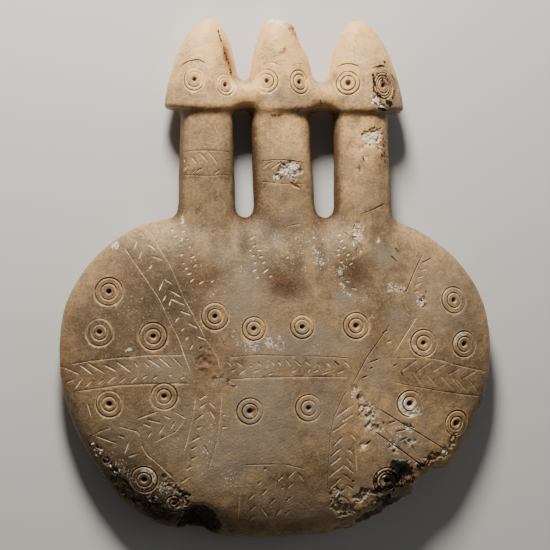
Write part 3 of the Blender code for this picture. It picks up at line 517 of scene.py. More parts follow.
# Scattered pale flecks, with how thick they lie
FLECKS = (
    (8, 10, 26, 13, 0, 0.27), (-34, 8, 10, 16, 15, 0.24), (29, 16, 4, 6, -10, 0.46),
    (25, 6, 6, 6, 30, 0.36), (44, -5, 6, 2.6, -14, 0.46), (54, -10, 3, 5, 10, 0.42),
    (36, 53, 5.5, 5.5, 0, 0.4), (3, 40, 7, 5.5, 0, 0.38), (-29, -60, 8, 14, 10, 0.3),
    (-60, -14, 12, 14, 0, 0.22), (20, 44, 3, 14, 0, 0.2), (13.4, 6.9, 3.1, 7.6, 8, 0.4),
    (12.1, 9.1, 1.2, 3.6, 0, 0.42), (22.6, -3.9, 1.8, 8.6, 39, 0.44), (37.6, 13.8, 1.9, 1.6, 45, 0.5),
    (41.6, -5.6, 2.2, 1.6, 0, 0.5), (-38.3, 20.5, 1, 4, 0, 0.6), (-39.4, 13.5, 1.2, 3.4, 8, 0.5),
    (-64.3, 11.3, 2.3, 1.6, 35, 0.55), (-11.5, 10.2, 3.1, 5, 0, 0.3), (-28.2, -8.2, 2.3, 2.3, 0, 0.34),
    (-17.2, 2.1, 3.9, 5.4, 0, 0.3), (-13.7, -26.5, 6.2, 3.9, 0, 0.42), (-4.5, -26, 6.5, 4.5, -20, 0.46),
    (-5, -33.5, 6, 2.6, 0, 0.38), (-19.7, -23.6, 2.6, 4, 10, 0.4), (13.6, -28.6, 5.4, 3.9, 0, 0.34),
    (-51.8, -33.9, 5.4, 3.9, 0, 0.26), (-30.8, -68.4, 8.5, 11.6, 0, 0.32), (-21.1, -78.1, 7.8, 7, 0, 0.3),
    (-40.4, -62.5, 5.4, 6.2, 0, 0.28), (-45.8, -81.8, 5.4, 4.7, 0, 0.4), (50.3, -27, 1.6, 3.9, 25, 0.45),
    (48.4, -13.4, 2.3, 3.9, 0, 0.38), (59, -16.6, 1.9, 1.6, 0, 0.46), (62.3, -34.9, 5.4, 3.1, 0, 0.28),
    (51.5, -38.7, 3.9, 4.7, 0, 0.34), (31.5, -9.5, 2.3, 1.6, 40, 0.48), (34.2, -16.4, 1.9, 1.2, 0, 0.5),
    (58.9, -75.8, 3.1, 3.1, 0, 0.32), (30.8, 83.9, 4.7, 5.4, 0, 0.4), (25.1, 41.1, 2.9, 7.8, 0, 0.25),
    (-30.1, 52, 5.4, 7.8, 0, 0.24), (1.8, 25.3, 5.4, 3.1, 0, 0.28), (3, 80, 3, 8, 0, 0.34),
    (-24, 70, 6, 3, 0, 0.3), (10, 66, 7, 3, 0, 0.34), (44, -60, 9, 10, 0, 0.42), (24, -84, 9, 7, 0, 0.36),
    (-62, -73, 9, 3.4, -52, 0.38), (-50, -85, 9, 2.6, -35, 0.38), (-45, -79.5, 5, 2.6, -40, 0.34),
    (-0.8, 98.2, 5.2, 2.2, -5, 0.58), (34.5, -54.5, 7.5, 8, 30, 0.4), (27.5, -45, 3, 3.5, -50, 0.46),
    (-31, 80, 12, 16, 0, 0.25), (2, 82, 10, 16, 0, 0.27), (34, 78, 12, 16, 0, 0.24),
    (34, 36, 8, 14, 0, 0.26),
)

# Soft edges of the ovals: where each begins and where it is whole, with the oval's own edge at 1, and how far
# the ragged noise moves that edge
SCAR_LOSS = (1.0, 0.72)
CRUST_RELIEF = (1.1, 0.5)
WORN_EDGE = (1.05, 0.8)
SCAR_EDGE = (1.08, 0.75)
CRUST_EDGE = (1.08, 0.6)
FLECK_EDGE = (1.4, 0.3)
STAIN_EDGE = (1.3, 0.3)
BLOOM_EDGE = (1.4, 0.2)
RAGGED_SCAR = 0.45

# Heights at which the front begins, and is whole: for its relief, and for its tones
FRONT_RELIEF = (MID_PLANE - 3, MID_PLANE + 1)
FRONT_TONE = (MID_PLANE - 4, MID_PLANE)
# How far inside the unbroken skin the stone begins to be broken, and is wholly: for its mesh and its tones
BROKEN_MESH = (0.25, 1.1)
BROKEN_TONE = (0.9, 1.9)
# How broken the stone is where a break's rubbed edge begins, and is whole, coming from the sound skin and
# coming from the break; only the stone east of this X has such an edge
EDGE_FROM_SKIN = (0.02, 0.20)
EDGE_FROM_BREAK = (0.75, 0.30)
RUBBED_EAST_OF = 20
# How many times the skin is evened out to tell its close hollows, and then its broad ones
CLOSE_PASSES = 2
BROAD_PASSES = 60
# Room round a mark for its lips, and how far the stone of a mark can be from its seat
LIP_ROOM = 1.4
SEAT_DEPTH = 5

# How deep a line is cut where it begins to be rubbed or dirty, and where it wholly is; the same for a mark,
# as a share of its depth; and how far out its pit begins and is whole, as a share of the pit's radius
RUBBED_DEPTH = (0.0, 0.10)
DIRTY_DEPTH = (0.05, 0.28)
MARK_DEPTH = (0.33, 0.85)
PIT_REACH = (0.88, 0.55)

# Where tones change: up the faces of the necks and heads, from the heads down to the necks, up the heads, and
# down the face of the disc; how steep the stone has to be, by its facing's Z, for the painted shade on the
# steep sides; and out toward the lower rim, where painted shade darkens it
NECKS_BEGIN = (18.0, 26.0)
HEADS_END = (64.0, 57.0)
HEADS_BEGIN = (66.0, 74.0)
DISC_BEGINS = (20.0, -10.0)
LOWER_DISC = (-20.0, -70.0)
STEEP = (0.86, 0.30)
SIDEWAYS = (0.70, 0.20)
RIM_SIZE = 85.0
NEAR_RIM = (0.86, 1.02)

# The stone's texture: scale, detail, roughness and distortion of each noise
CLOUD = (45.0, 5.0, 0.6, 0.6)
MOTTLE = (210.0, 6.0, 0.70, 0.4)
SPECKLE = (900.0, 3.0, 0.7)
GRAIN = (1500.0, 3.0, 0.7)
# Two runs of hairline scratches: heading in degrees, length and width in metres
SCRATCHES = ((28.0, 0.0070, 0.0007), (-47.0, 0.0090, 0.0007))
# How deep the patina is where each of its colours is pure
HONEY_AT = 0.36
BROWN_AT = 0.68
SHARP_EDGE = math.radians(38)

# The stage, in metres; each light has its place, its aim, its width and its colour
FLOOR_SIZE = 2.4
FLOOR_ROUGHNESS = 0.85
KEY_LIGHT = ((-0.09, 0.45, 0.28), (0.0, 0.02, 0.0), 0.14, (1.0, 0.955, 0.88))
FILL_LIGHT = ((0.70, 0.10, 0.60), (0.0, -0.02, 0.0), 0.60, (0.95, 0.97, 1.0))

# The camera's yaw, what it looks at in millimetres, its distance and the width that it sees there in metres,
# and the pixels by which what it looks at is off the picture's middle
VIEW_YAW = math.radians(10)
VIEW_TARGET = (-1.8, 0.39, 10.0)
VIEW_DISTANCE = 0.75
VIEW_WIDTH = 0.2145
SENSOR = 36.0
FRAME_PIXELS = 550
TARGET_OFF_CENTRE = (1.0, 0.5)


class StoneSizes(bpy.types.PropertyGroup):
    grain: FloatProperty(
        name="Grain", description="Edge length of the stone's mesh, in millimetres",
        default=1.13, min=0.5, max=3.0,
    )
    softening_grain: FloatProperty(
        name="Softening grain", description="Size of the mesh that merges the forms, in millimetres",
        default=1.1, min=0.8, max=3.0,
    )
    back_faces: IntProperty(
        name="Back faces", description="Triangles left on the plain back", default=8000, min=4000
    )
    unevenness: FloatProperty(
        name="Unevenness", description="Height of the hand-worked waves of the face, in millimetres",
        default=0.24,
    )
    break_roughness: FloatProperty(
        name="Break roughness", description="Height of the crystals on broken stone, in millimetres",
        default=0.75,
    )


class StoneColours(bpy.types.PropertyGroup):
    cream: FloatVectorProperty(
        name="Cream", description="The cleanest alabaster, as on the heads", subtype="COLOR",
        default=(0.94, 0.57, 0.232),
    )
    honey: FloatVectorProperty(
        name="Honey", description="Alabaster under a thin patina", subtype="COLOR",
        default=(0.43, 0.280, 0.142),
    )
    brown: FloatVectorProperty(
        name="Brown", description="Alabaster under its usual patina", subtype="COLOR",
        default=(0.176, 0.119, 0.068),
    )
    # Dusk also gives the painted shade at the foot of the disc and on its lower rim
    dusk: FloatVectorProperty(
        name="Dusk", description="The darkest patina, at the foot of the disc", subtype="COLOR",
        default=(0.035, 0.021, 0.010),
    )
    bloom: FloatVectorProperty(
        name="Bloom", description="Thin grey film on the middle of the disc", subtype="COLOR",
        default=(0.29, 0.232, 0.172),
    )
    # Rust also gives the necks' steep sides a warm painted shade
    rust_and_shade: FloatVectorProperty(
        name="Rust", description="Orange and brown stains", subtype="COLOR", default=(0.31, 0.122, 0.042)
    )
    chalk: FloatVectorProperty(
        name="Chalk", description="Bruised and scratched stone", subtype="COLOR", default=(0.95, 0.84, 0.66)
    )
    crust: FloatVectorProperty(
        name="Crust", description="Black deposit", subtype="COLOR", default=(0.016, 0.012, 0.010)
    )
    dirt: FloatVectorProperty(
        name="Dirt", description="Dirt in the drilled grooves", subtype="COLOR", default=(0.03, 0.019, 0.011)
    )


class StageSettings(bpy.types.PropertyGroup):
    floor_colour: FloatVectorProperty(
        name="Floor", description="Plain pale floor", subtype="COLOR", default=(0.72, 0.71, 0.69)
    )
    key_power: FloatProperty(name="Key light", description="Power in watts", default=5.7)
    fill_power: FloatProperty(name="Fill light", description="Power in watts", default=0.3)
    sky: FloatProperty(name="Sky", description="Strength of the even light all round", default=0.07)


# Forms


def between(start, end, share):
    return start + (end - start) * share


def rim_radius(angle):
    """Distance of the unbroken rim from the disc's centre, smoothly through RIM_RADII."""
    count = len(RIM_RADII)
    place = (angle % math.tau) / math.tau * count
    first = int(place)
    t = place - first
    before, start, end, after = (RIM_RADII[(first + k) % count] for k in (-1, 0, 1, 2))
    return 0.5 * (
        2 * start
        + (end - before) * t
        + (2 * before - 5 * start + 4 * end - after) * t**2
        + (3 * start - before - 3 * end + after) * t**3
    )


def oval(angle, half_width, half_depth, squareness):
    """A point of a squared oval about its own middle."""
    across, up = math.cos(angle), math.sin(angle)
    power = 2 / squareness
    return (
        math.copysign(abs(across) ** power, across) * half_width,
        math.copysign(abs(up) ** power, up) * half_depth,
    )


def tube(place, rows, segments=40):
    """A closed shell whose point at a share of its length and at an angle round it is place(share, angle)."""
    bm = bmesh.new()
    bmesh.ops.create_cone(bm, cap_ends=True, segments=segments, radius1=1.0, radius2=1.0, depth=1.0)
    lengthwise = [edge for edge in bm.edges if abs(edge.verts[0].co.z - edge.verts[1].co.z) > 0.5]
    bmesh.ops.subdivide_edges(bm, edges=lengthwise, cuts=rows, use_grid_fill=True)
    for vert in bm.verts:
        vert.co = place(vert.co.z + 0.5, math.atan2(vert.co.y, vert.co.x))
    bmesh.ops.recalc_face_normals(bm, faces=bm.faces)
    return bm


def disc_shell():
    """The disc: a ball pressed flat, with the rim's own outline."""
    bm = bmesh.new()
    bmesh.ops.create_uvsphere(bm, u_segments=128, v_segments=48, radius=1.0)
    for vert in bm.verts:
        out = min(1.0, math.hypot(vert.co.x, vert.co.y))
        angle = math.atan2(vert.co.y, vert.co.x)
        reach = out * rim_radius(angle)
        bulge = DISC_FRONT if vert.co.z > 0 else -DISC_BACK
        vert.co = (
            DISC_CENTRE[0] + reach * math.cos(angle),
            DISC_CENTRE[1] + reach * math.sin(angle),
            MID_PLANE + bulge * math.sqrt(1 - out**DISC_POWER),
        )
    return bm


def face_height(x, y):
    """Height of the disc's front over the mid plane."""
    east, north = x - DISC_CENTRE[0], y - DISC_CENTRE[1]
    out = min(1.0, math.hypot(east, north) / rim_radius(math.atan2(north, east)))
    return DISC_FRONT * math.sqrt(1 - out**DISC_POWER)


def neck_shell(figure):
    """One neck, from inside its head down to the disc, and its ridge that dies out in the disc's face."""
    (head_x, head_half), (disc_x, disc_half) = figure["neck"]

    def place(share, angle):
        y = between(RIDGE_END, HEAD_FOOT + 4, share)
        down = (HEAD_FOOT - y) / (HEAD_FOOT - NECK_END)
        along_ridge = max(0.0, (NECK_END - y) / (NECK_END - RIDGE_END))
        mid_x = between(head_x, disc_x, min(down, 1.0))
        half = between(head_half, disc_half, min(down, 1.0)) * between(1.0, RIDGE_SPREAD, along_ridge)
        front = NECK_DEPTH
        if along_ridge > 0:
            over_face = between(RIDGE_RISE, -RIDGE_SINK, along_ridge)
            front = max(NECK_DEPTH, face_height(mid_x, y) + over_face)
        x, z = oval(angle, half, front if angle > 0 else NECK_DEPTH, NECK_POWER)
        return Vector((mid_x + x, y, MID_PLANE + z))

    return tube(place, rows=24)


def head_shell(figure):
    """One head: a tall cap that narrows to a blunt top."""
    foot_x, foot_half = figure["head"]
    top_x, top_y = figure["top"]

    def place(share, angle):
        share = min(share, 0.995)
        narrowed = 1 - figure["taper"] * share**1.15
        rounded = math.sqrt(1 - share ** figure["bluntness"])
        depth = between(HEAD_DEPTH, TOP_DEPTH, share) * rounded**0.7
        x, z = oval(angle, foot_half * narrowed * rounded, depth, HEAD_POWER)
        mid_x = between(foot_x, top_x, share) + figure["sway"] * math.sin(math.pi * share)
        return Vector((mid_x + x, between(HEAD_FOOT, top_y, share), MID_PLANE + z))

    return tube(place, rows=40)


def tie_shell(start, end):
    """The bar left between two heads."""

    def place(share, angle):
        y, z = oval(angle, TIE_HALF_HEIGHT, TIE_HALF_DEPTH, NECK_POWER)
        return Vector((between(start, end, share), TIE_Y + y, MID_PLANE + z))

    return tube(place, rows=8)


# Helpers for meshes


def joined(shells):
    together = bmesh.new()
    for shell in shells:
        mesh = bpy.data.meshes.new("shell")
        shell.to_mesh(mesh)
        together.from_mesh(mesh)
        shell.free()
        bpy.data.meshes.remove(mesh)
    return together


def object_from(name, bm):
    mesh = bpy.data.meshes.new(name)
    bm.to_mesh(mesh)
    bm.free()
    made = bpy.data.objects.new(name, mesh)
    bpy.context.scene.collection.objects.link(made)
    return made


def settle(made):
    """Makes what an object's modifiers do a part of its mesh."""
    graph = bpy.context.evaluated_depsgraph_get()
    old = made.data
    made.data = bpy.data.meshes.new_from_object(made.evaluated_get(graph))
    made.modifiers.clear()
    bpy.data.meshes.remove(old)


def remesh(body, grain):
    modifier = body.modifiers.new("grain", "REMESH")
    modifier.mode = "VOXEL"
    modifier.voxel_size = grain
    settle(body)


def soften(body, passes, group=""):
    smooth = body.modifiers.new("soften", "SMOOTH")
    smooth.factor = 0.5
    smooth.iterations = passes
    smooth.vertex_group = group


def take_away(body, bm, solver="EXACT"):
    """Cuts a closed mesh out of the body."""
    bmesh.ops.recalc_face_normals(bm, faces=bm.faces)
    cutter = object_from("cutter", bm)
    boolean = body.modifiers.new("cut", "BOOLEAN")
    boolean.operation = "DIFFERENCE"
    boolean.solver = solver
    boolean.object = cutter
    settle(body)
    cut_mesh = cutter.data
    bpy.data.objects.remove(cutter)
    bpy.data.meshes.remove(cut_mesh)


def vectors(collection, field):
    """The values of a vector field of all items, as rows."""
    values = np.empty(len(collection) * 3, np.float32)
    collection.foreach_get(field, values)
    return values.reshape(-1, 3).astype(float)


def vertex_places(mesh):
    return vectors(mesh.vertices, "co")


def vertex_facings(mesh):
    return vectors(mesh.vertex_normals, "vector")


def tree_of(mesh):
    """The surface of a mesh, ready to be asked for its nearest point or for what a ray hits."""
    bm = bmesh.new()
    bm.from_mesh(mesh)
    tree = BVHTree.FromBMesh(bm)
    bm.free()
    return tree


def distances(tree, places):
    """How far each place is from the surface."""
    return np.array([tree.find_nearest(place)[3] for place in places])


def smooth_step(start, end, values):
    """Goes softly from 0 to 1 as the values go from the start to the end, which may be the smaller."""
    share = np.clip((values - start) / (end - start), 0.0, 1.0)
    return share * share * (3 - 2 * share)


def waves(places, size, octaves=4, offset=0.0):
    """Smooth noise from -1 to 1 whose largest lumps are the given size."""
    shift = Vector((offset, offset * 0.7, -offset))
    return np.array([noise.fractal(Vector(place) / size + shift, 1.0, 2.0, octaves) for place in places])


def ragged_edges(places):
    """The noise by which scars, stains and crusts lose their even outlines."""
    return waves(places, RAGGED_SIZE, 4, 11.0)


def crystals(places, size, offset=0.0):
    """Sharp facets from 0 to 1, as on broken grains of the given size."""
    shift = Vector((offset, -offset, offset * 0.4))
    return np.array([noise.voronoi(Vector(place) / size + shift)[0][0] for place in places])


def oval_reach(places, oval):
    """Distance from an oval's middle, 1 at its edge."""
    x, y, half_x, half_y, turn = oval
    angle = math.radians(turn)
    east, north = places[:, 0] - x, places[:, 1] - y
    along = (east * math.cos(angle) + north * math.sin(angle)) / half_x
    across = (north * math.cos(angle) - east * math.sin(angle)) / half_y
    return np.hypot(along, across)


def on_face_within(places, ovals, reach):
    """True at the places on the face that are in any of the ovals, stretched to the reach."""
    within = np.any([oval_reach(places, oval) < reach for oval in ovals], axis=0)
    return within & (places[:, 2] > FACE_FOOT)


# The stone before it is carved


def softened_forms(sizes):
    """One skin over all the shells, with soft valleys where the necks meet the disc."""
    shells = [disc_shell()]
    for figure in FIGURES.values():
        shells += [neck_shell(figure), head_shell(figure)]
    shells += [tie_shell(*tie) for tie in TIES]
    body = object_from("idol_stone", joined(shells))
    remesh(body, sizes.softening_grain)

    shoulders = body.vertex_groups.new(name="shoulders")
    ties = body.vertex_groups.new(name="ties")
    for vert in body.data.vertices:
        near = 1 - abs(vert.co.y - SHOULDERS_Y) / SHOULDERS_REACH
        if near > 0:
            shoulders.add([vert.index], min(1.0, 2 * near), "REPLACE")
        for start, end in TIES:
            sideways = 1 - abs(vert.co.x - (start + end) / 2) / (0.6 * (end - start))
            near = min(sideways, 1 - abs(vert.co.y - TIE_Y) / (1.6 * TIE_HALF_HEIGHT))
            if near > 0:
                ties.add([vert.index], min(1.0, 3 * near), "REPLACE")
    soften(body, SOFTEN_ALL)
    soften(body, SOFTEN_SHOULDERS, "shoulders")
    soften(body, SOFTEN_TIES, "ties")
    settle(body)
    body.vertex_groups.clear()
    return body


def break_form():
    """The stone lost at the lower right: everything outside the break's corners."""
    bm = bmesh.new()
    middle = Vector((DISC_CENTRE[0], DISC_CENTRE[1], MID_PLANE))
    inner = []
    outer = []
    for side in (-1, 1):
        rise = Vector((0, 0, side * CUT_HALF_HEIGHT))
        for x, y, lean in BREAK_CORNERS:
            away = Vector((x, y, MID_PLANE)) - middle
            leaning = side * CUT_HALF_HEIGHT * lean * away.normalized()
            inner.append(bm.verts.new(middle + away - leaning + rise))
            outer.append(bm.verts.new(middle + BREAK_REACH * away + rise))
    count = len(BREAK_CORNERS)
    for walls in (inner, outer):
        for k in range(count - 1):
            bm.faces.new((walls[k], walls[k + 1], walls[count + k + 1], walls[count + k]))
    for level in (0, count):
        bm.faces.new(inner[level : level + count] + outer[level : level + count][::-1])
    for k in (0, count - 1):
        bm.faces.new((inner[k], outer[k], outer[count + k], inner[count + k]))
    return bm


def chip_form():
    """The hollow chip in the lower left edge."""
    bm = bmesh.new()
    bmesh.ops.create_icosphere(bm, subdivisions=4, radius=1.0)
    for vert in bm.verts:
        parts = zip(CHIP_MIDDLE, CHIP_HALF_SIZES, vert.co)
        vert.co = [middle + half * part for middle, half, part in parts]
    return bm


def break_stone(body, sizes):
    """Takes off the flat of the back, the break and the chip, and takes the sharpness off their edges."""
    back = bmesh.new()
    bmesh.ops.create_cube(back, size=1.0)
    bmesh.ops.scale(back, vec=GROUND_BLOCK, verts=back.verts)
    bmesh.ops.translate(back, vec=(0.0, 0.0, -GROUND_BLOCK[2] / 2), verts=back.verts)
    for lost in (back, break_form(), chip_form()):
        take_away(body, lost)
    remesh(body, sizes.grain)
    soften(body, SOFTEN_BREAKS)
    settle(body)


def in_rough_place(places, broken):
    """True where the surface needs a finer mesh."""
    worn = [scar[:5] for scar in SCARS] + [crust[:5] for crust in CRUSTS if crust[5] > FLAT_CRUST]
    drilled = [(mark.x, mark.y, mark.outer + MARK_MARGIN, mark.outer + MARK_MARGIN, 0) for mark in MARKS]
    marked = on_face_within(places, drilled, 1.0)
    return (broken > 0.05) | marked | on_face_within(places, worn, SCAR_REACH)


def in_deep_scar(places):
    """True where it needs the finest mesh."""
    deep = [scar[:5] for scar in SCARS if scar[6] > DEEP_SCAR]
    return on_face_within(places, deep, DEEP_REACH)


def brokenness(body, whole):
    """How far each vertex is inside the unbroken skin, as 0 to 1, leaving out the flat of the back."""
    places = vertex_places(body.data)
    return smooth_step(*BROKEN_MESH, distances(whole, places)) * (places[:, 2] > FLAT_BACK)


def halve(body, rough):
    """Halves the edges between the chosen vertices."""
    bm = bmesh.new()
    bm.from_mesh(body.data)
    bm.verts.ensure_lookup_table()
    edges = [edge for edge in bm.edges if rough[edge.verts[0].index] and rough[edge.verts[1].index]]
    bmesh.ops.subdivide_edges(bm, edges=edges, cuts=1, use_grid_fill=True)
    bmesh.ops.triangulate(bm, faces=[face for face in bm.faces if len(face.verts) > 4])
    bm.to_mesh(body.data)
    bm.free()


def refine(body, whole):
    """A finer mesh where the stone is broken, scarred, crusted or drilled."""
    halve(body, in_rough_place(vertex_places(body.data), brokenness(body, whole)))
    halve(body, in_deep_scar(vertex_places(body.data)))
    bm = bmesh.new()
    bm.from_mesh(body.data)
    bmesh.ops.triangulate(bm, faces=bm.faces)
    bm.to_mesh(body.data)
    bm.free()


def knock_off_flats(places, lumps):
    """Moves what stands out past the flats of the middle head back onto them."""
    for x, y, heading, half_width in FLATS:
        out = np.array((math.cos(math.radians(heading)), math.sin(math.radians(heading))))
        from_flat = places[:, :2] - (x, y)
        beyond = from_flat @ out + 0.5 * lumps
        across = np.abs(from_flat @ np.array((-out[1], out[0])))
        lost = np.clip(beyond, 0.0, 3.0) * (beyond < 4.0) * smooth_step(half_width + 1.0, half_width, across)
        places[:, :2] -= lost[:, None] * out


def roughen(body, whole, sizes):
    """Moves the skin in and out: waves of the hand, broken crystals, scars and crust."""
    mesh = body.data
    places = vertex_places(mesh)
    broken = brokenness(body, whole)
    front = smooth_step(*FRONT_RELIEF, places[:, 2])
    broad, small, middling = WAVE_SIZES
    lift = sizes.unevenness * (waves(places, broad, 3) + 0.35 * waves(places, small, 2, 7.0))
    lift += sizes.unevenness * 0.4 * waves(places, middling, 2, 21.0)
    for *oval, height in SWELLS:
        lift += front * height * np.exp(-oval_reach(places, oval) ** 2)

    lumps = waves(places, LUMP_SIZE, 5, 3.0)
    facets = crystals(places, FACET_SIZES[0], 1.0)
    fine = crystals(places, FACET_SIZES[1], 5.0)
    grit = waves(places, GRIT_SIZE, 3, 31.0)
    lift -= broken * sizes.break_roughness * (0.3 + 1.1 * lumps - 1.0 * facets - 0.4 * fine + 0.4 * grit)

    ragged = ragged_edges(places)
    for *oval, depth, roughness, _ in SCARS:
        lost = front * smooth_step(*SCAR_LOSS, oval_reach(places, oval) + RAGGED_SCAR * ragged)
        lift -= lost * (depth + roughness * (0.9 * lumps + 0.8 * facets + 1.3 * grit - 0.4))
    for *oval, height, _ in CRUSTS:
        laid = front * smooth_step(*CRUST_RELIEF, oval_reach(places, oval) + 0.5 * ragged)
        lift += laid * height * (0.4 + 1.2 * facets + 0.4 * lumps + 1.2 * grit)

    lift[places[:, 2] < ROUGH_FROM] = 0.0
    places += vertex_facings(mesh) * lift[:, None]
    places[:, 2] = np.maximum(places[:, 2], 0.0)
    knock_off_flats(places, lumps)
    mesh.vertices.foreach_set("co", places.astype(np.float32).ravel())
    mesh.update()


def thin_back(body, sizes):
    """Fewer, larger faces on the plain back."""
    mesh = body.data
    behind = (vertex_places(mesh)[:, 2] < FACE_FOOT) & (vertex_facings(mesh)[:, 2] < -0.2)
    group = body.vertex_groups.new(name="back")
    group.add([int(k) for k in np.flatnonzero(behind)], 1.0, "REPLACE")
    total = len(mesh.polygons)
    of_back = sum(all(behind[k] for k in polygon.vertices) for polygon in mesh.polygons)
    modifier = body.modifiers.new("thin", "DECIMATE")
    modifier.vertex_group = "back"
    modifier.ratio = min(1.0, (total - of_back + sizes.back_faces) / total)
    settle(body)
    body.vertex_groups.clear()


# Carving


class Skin:
    """The stone's surface, for cutters that have to follow it."""

    def __init__(self, body):
        self.tree = tree_of(body.data)

    def over(self, x, y, height):
        """A point at a height over the face at (x, y)."""
        place = self.tree.ray_cast(Vector((x, y, SKY)), Vector((0, 0, -1)))[0]
        if place is None:
            place = self.tree.find_nearest(Vector((x, y, MID_PLANE)))[0]
        return place + Vector((0, 0, height))

    def seat(self, x, y, radius):
        """A frame on the surface at (x, y), with its Z along the mean facing within the radius."""
        down = Vector((0, 0, -1))
        facing = Vector()
        for share in (0.5, 1.0):
            for k in range(SEAT_RAYS):
                angle = k * math.tau / SEAT_RAYS
                across, along = share * radius * math.cos(angle), share * radius * math.sin(angle)
                facing += self.tree.ray_cast(Vector((x + across, y + along, SKY)), down)[1] or down * -1
        facing.normalize()
        east = Vector((0, 1, 0)).cross(facing).normalized()
        north = facing.cross(east)
        place = self.tree.ray_cast(Vector((x, y, SKY)), down)[0]
        return Matrix.Translation(place) @ Matrix((east, north, facing)).transposed().to_4x4()

    def on_seat(self, seat, across, along, height):
        """A point at a height over the surface, from its place in the frame of a seat."""
        facing = seat.col[2].to_3d()
        start = seat @ Vector((across, along, 12.0))
        place = self.tree.ray_cast(start, -facing)[0]
        if place is None:
            place = seat @ Vector((across, along, 0.0))
        return place + facing * height


def circle_groove(skin, seat, radius, squeeze, depth, worn_heading, worn_share, sides):
    """A V-shaped section spun into a ring and laid on the surface, shallower on its worn side."""
    bm = bmesh.new()
    section = bmesh.ops.create_circle(bm, segments=3, radius=1.0)["verts"]
    low = max(section, key=lambda vert: abs(vert.co.x * 0.1 + vert.co.y))
    flare = GROOVE_HALF_WIDTH * (depth + CLEAR) / depth
    rims = [vert for vert in section if vert is not low]
    low.co = (radius, 0, -1.0)
    rims[0].co = (radius - flare, 0, CLEAR)
    rims[1].co = (radius + flare, 0, CLEAR)
    bmesh.ops.spin(
        bm, geom=bm.verts[:] + bm.edges[:], cent=(0, 0, 0), axis=(0, 0, 1), dvec=(0, 0, 0),
        angle=math.tau, steps=sides, use_merge=True,
    )
    place = seat.to_translation()
    for vert in bm.verts:
        angle = math.atan2(vert.co.y, vert.co.x)
        height = CLEAR
        if vert.co.z < 0:
            lively = 1 + 0.25 * noise.noise(place + Vector((math.cos(angle), math.sin(angle), radius)) * 1.7)
            facing_away = 0.5 - 0.5 * math.cos(angle - worn_heading)
            height = -depth * lively * (1 - worn_share * (1 - facing_away) ** 2)
        vert.co = skin.on_seat(seat, squeeze * vert.co.x, vert.co.y, height)
    return bm


def pit(seat, radius):
    """The dot: a drilled point."""
    bm = bmesh.new()
    radius *= PIT_SPREAD
    depth = PIT_DEPTH_SHARE * radius
    flare = radius * (depth + CLEAR) / depth
    bmesh.ops.create_cone(
        bm, cap_ends=True, segments=PIT_SIDES, radius1=PIT_POINT * radius, radius2=flare, depth=depth + CLEAR,
    )
    bmesh.ops.translate(bm, vec=(0, 0, (CLEAR - depth) / 2), verts=bm.verts)
    bmesh.ops.transform(bm, matrix=seat, verts=bm.verts)
    return bm


def mark_cutters(skin, seat, mark):
    """The outer circle, the inner circle and the dot of one mark."""
    heading = math.radians(mark.worn_heading)
    inner = mark.outer * mark.inner_share
    worn, inner_worn = mark.worn_share, 0.8 * mark.worn_share
    return (
        circle_groove(skin, seat, mark.outer, mark.squeeze, mark.depth, heading, worn, OUTER_SIDES),
        circle_groove(skin, seat, inner, mark.squeeze, mark.depth, heading, inner_worn, INNER_SIDES),
        pit(seat, mark.pit_radius),
    )


def groove(skin, corners, depth, half_width, step, run_out):
    """A V-shaped groove through the corners, laid on the surface, that runs out at both ends."""
    corners = [Vector(corner) for corner in corners]
    lengths = [(after - before).length for before, after in zip(corners, corners[1:])]
    total = sum(lengths)
    flare = half_width * (depth + CLEAR) / depth

    def place(share, angle):
        left = min(share, 0.9999) * total
        k = 0
        while left > lengths[k]:
            left -= lengths[k]
            k += 1
        heading = (corners[k + 1] - corners[k]).normalized()
        at = corners[k] + heading * left
        to_end = min(share, 1 - share) * total
        full = min(1.0, 0.12 + to_end / run_out)
        lively = 1 + 0.3 * noise.noise(Vector((at.x, at.y, 0)) * 0.6)
        if angle > 0:
            spread, height = 0.0, -depth * full * lively
        else:
            spread, height = math.copysign(flare, math.cos(angle)), CLEAR
        at += spread * (0.35 + 0.65 * full) * Vector((-heading.y, heading.x))
        return skin.over(at.x, at.y, height)

    return tube(place, rows=max(3, round(total / step) - 1), segments=3)


def apart(shells):
    """Sorts cutters into groups in which no two touch."""
    groups = []
    for shell in shells:
        low = Vector([min(vert.co[k] for vert in shell.verts) - 0.05 for k in range(3)])
        high = Vector([max(vert.co[k] for vert in shell.verts) + 0.05 for k in range(3)])
        for group in groups:
            if all(
                any(low[k] > other_high[k] or high[k] < other_low[k] for k in (0, 1))
                for other_low, other_high, _ in group
            ):
                group.append((low, high, shell))
                break
        else:
            groups.append([(low, high, shell)])
    return [[shell for _, _, shell in group] for group in groups]


def narrowed(half_width, depth):
    """A shallow line is narrower than a deep one."""
    return half_width * (0.4 + 0.6 * depth / FULL_DEPTH)


def line_cutters(skin):
    """The grooves of the lines, the short strokes and the gouges."""
    cutters = []
    for corners, depth, tone in LINES:
        depth *= 1 - RUBBED_SHARE * max(tone, 0.0)
        half_width = narrowed(LINE_HALF_WIDTH, depth)
        cutters.append(groove(skin, corners, depth, half_width, LINE_STEP, LINE_RUN_OUT))
    for depth, _, strokes in STROKES:
        half_width = narrowed(STROKE_HALF_WIDTH, depth)
        for x1, y1, x2, y2 in strokes:
            east, north = STROKE_TAIL * (x2 - x1), STROKE_TAIL * (y2 - y1)
            ends = ((x1 - east, y1 - north), (x2 + east, y2 + north))
            run_out = 2 * STROKE_TAIL * math.hypot(x2 - x1, y2 - y1)
            cutters.append(groove(skin, ends, depth, half_width, STROKE_STEP, run_out))
    for (x1, y1, x2, y2), depth, half_width, _ in GOUGES:
        run_out = GOUGE_RUN_OUT_SHARE * math.hypot(x2 - x1, y2 - y1)
        cutters.append(groove(skin, ((x1, y1), (x2, y2)), depth, half_width, GOUGE_STEP, run_out))
    return cutters


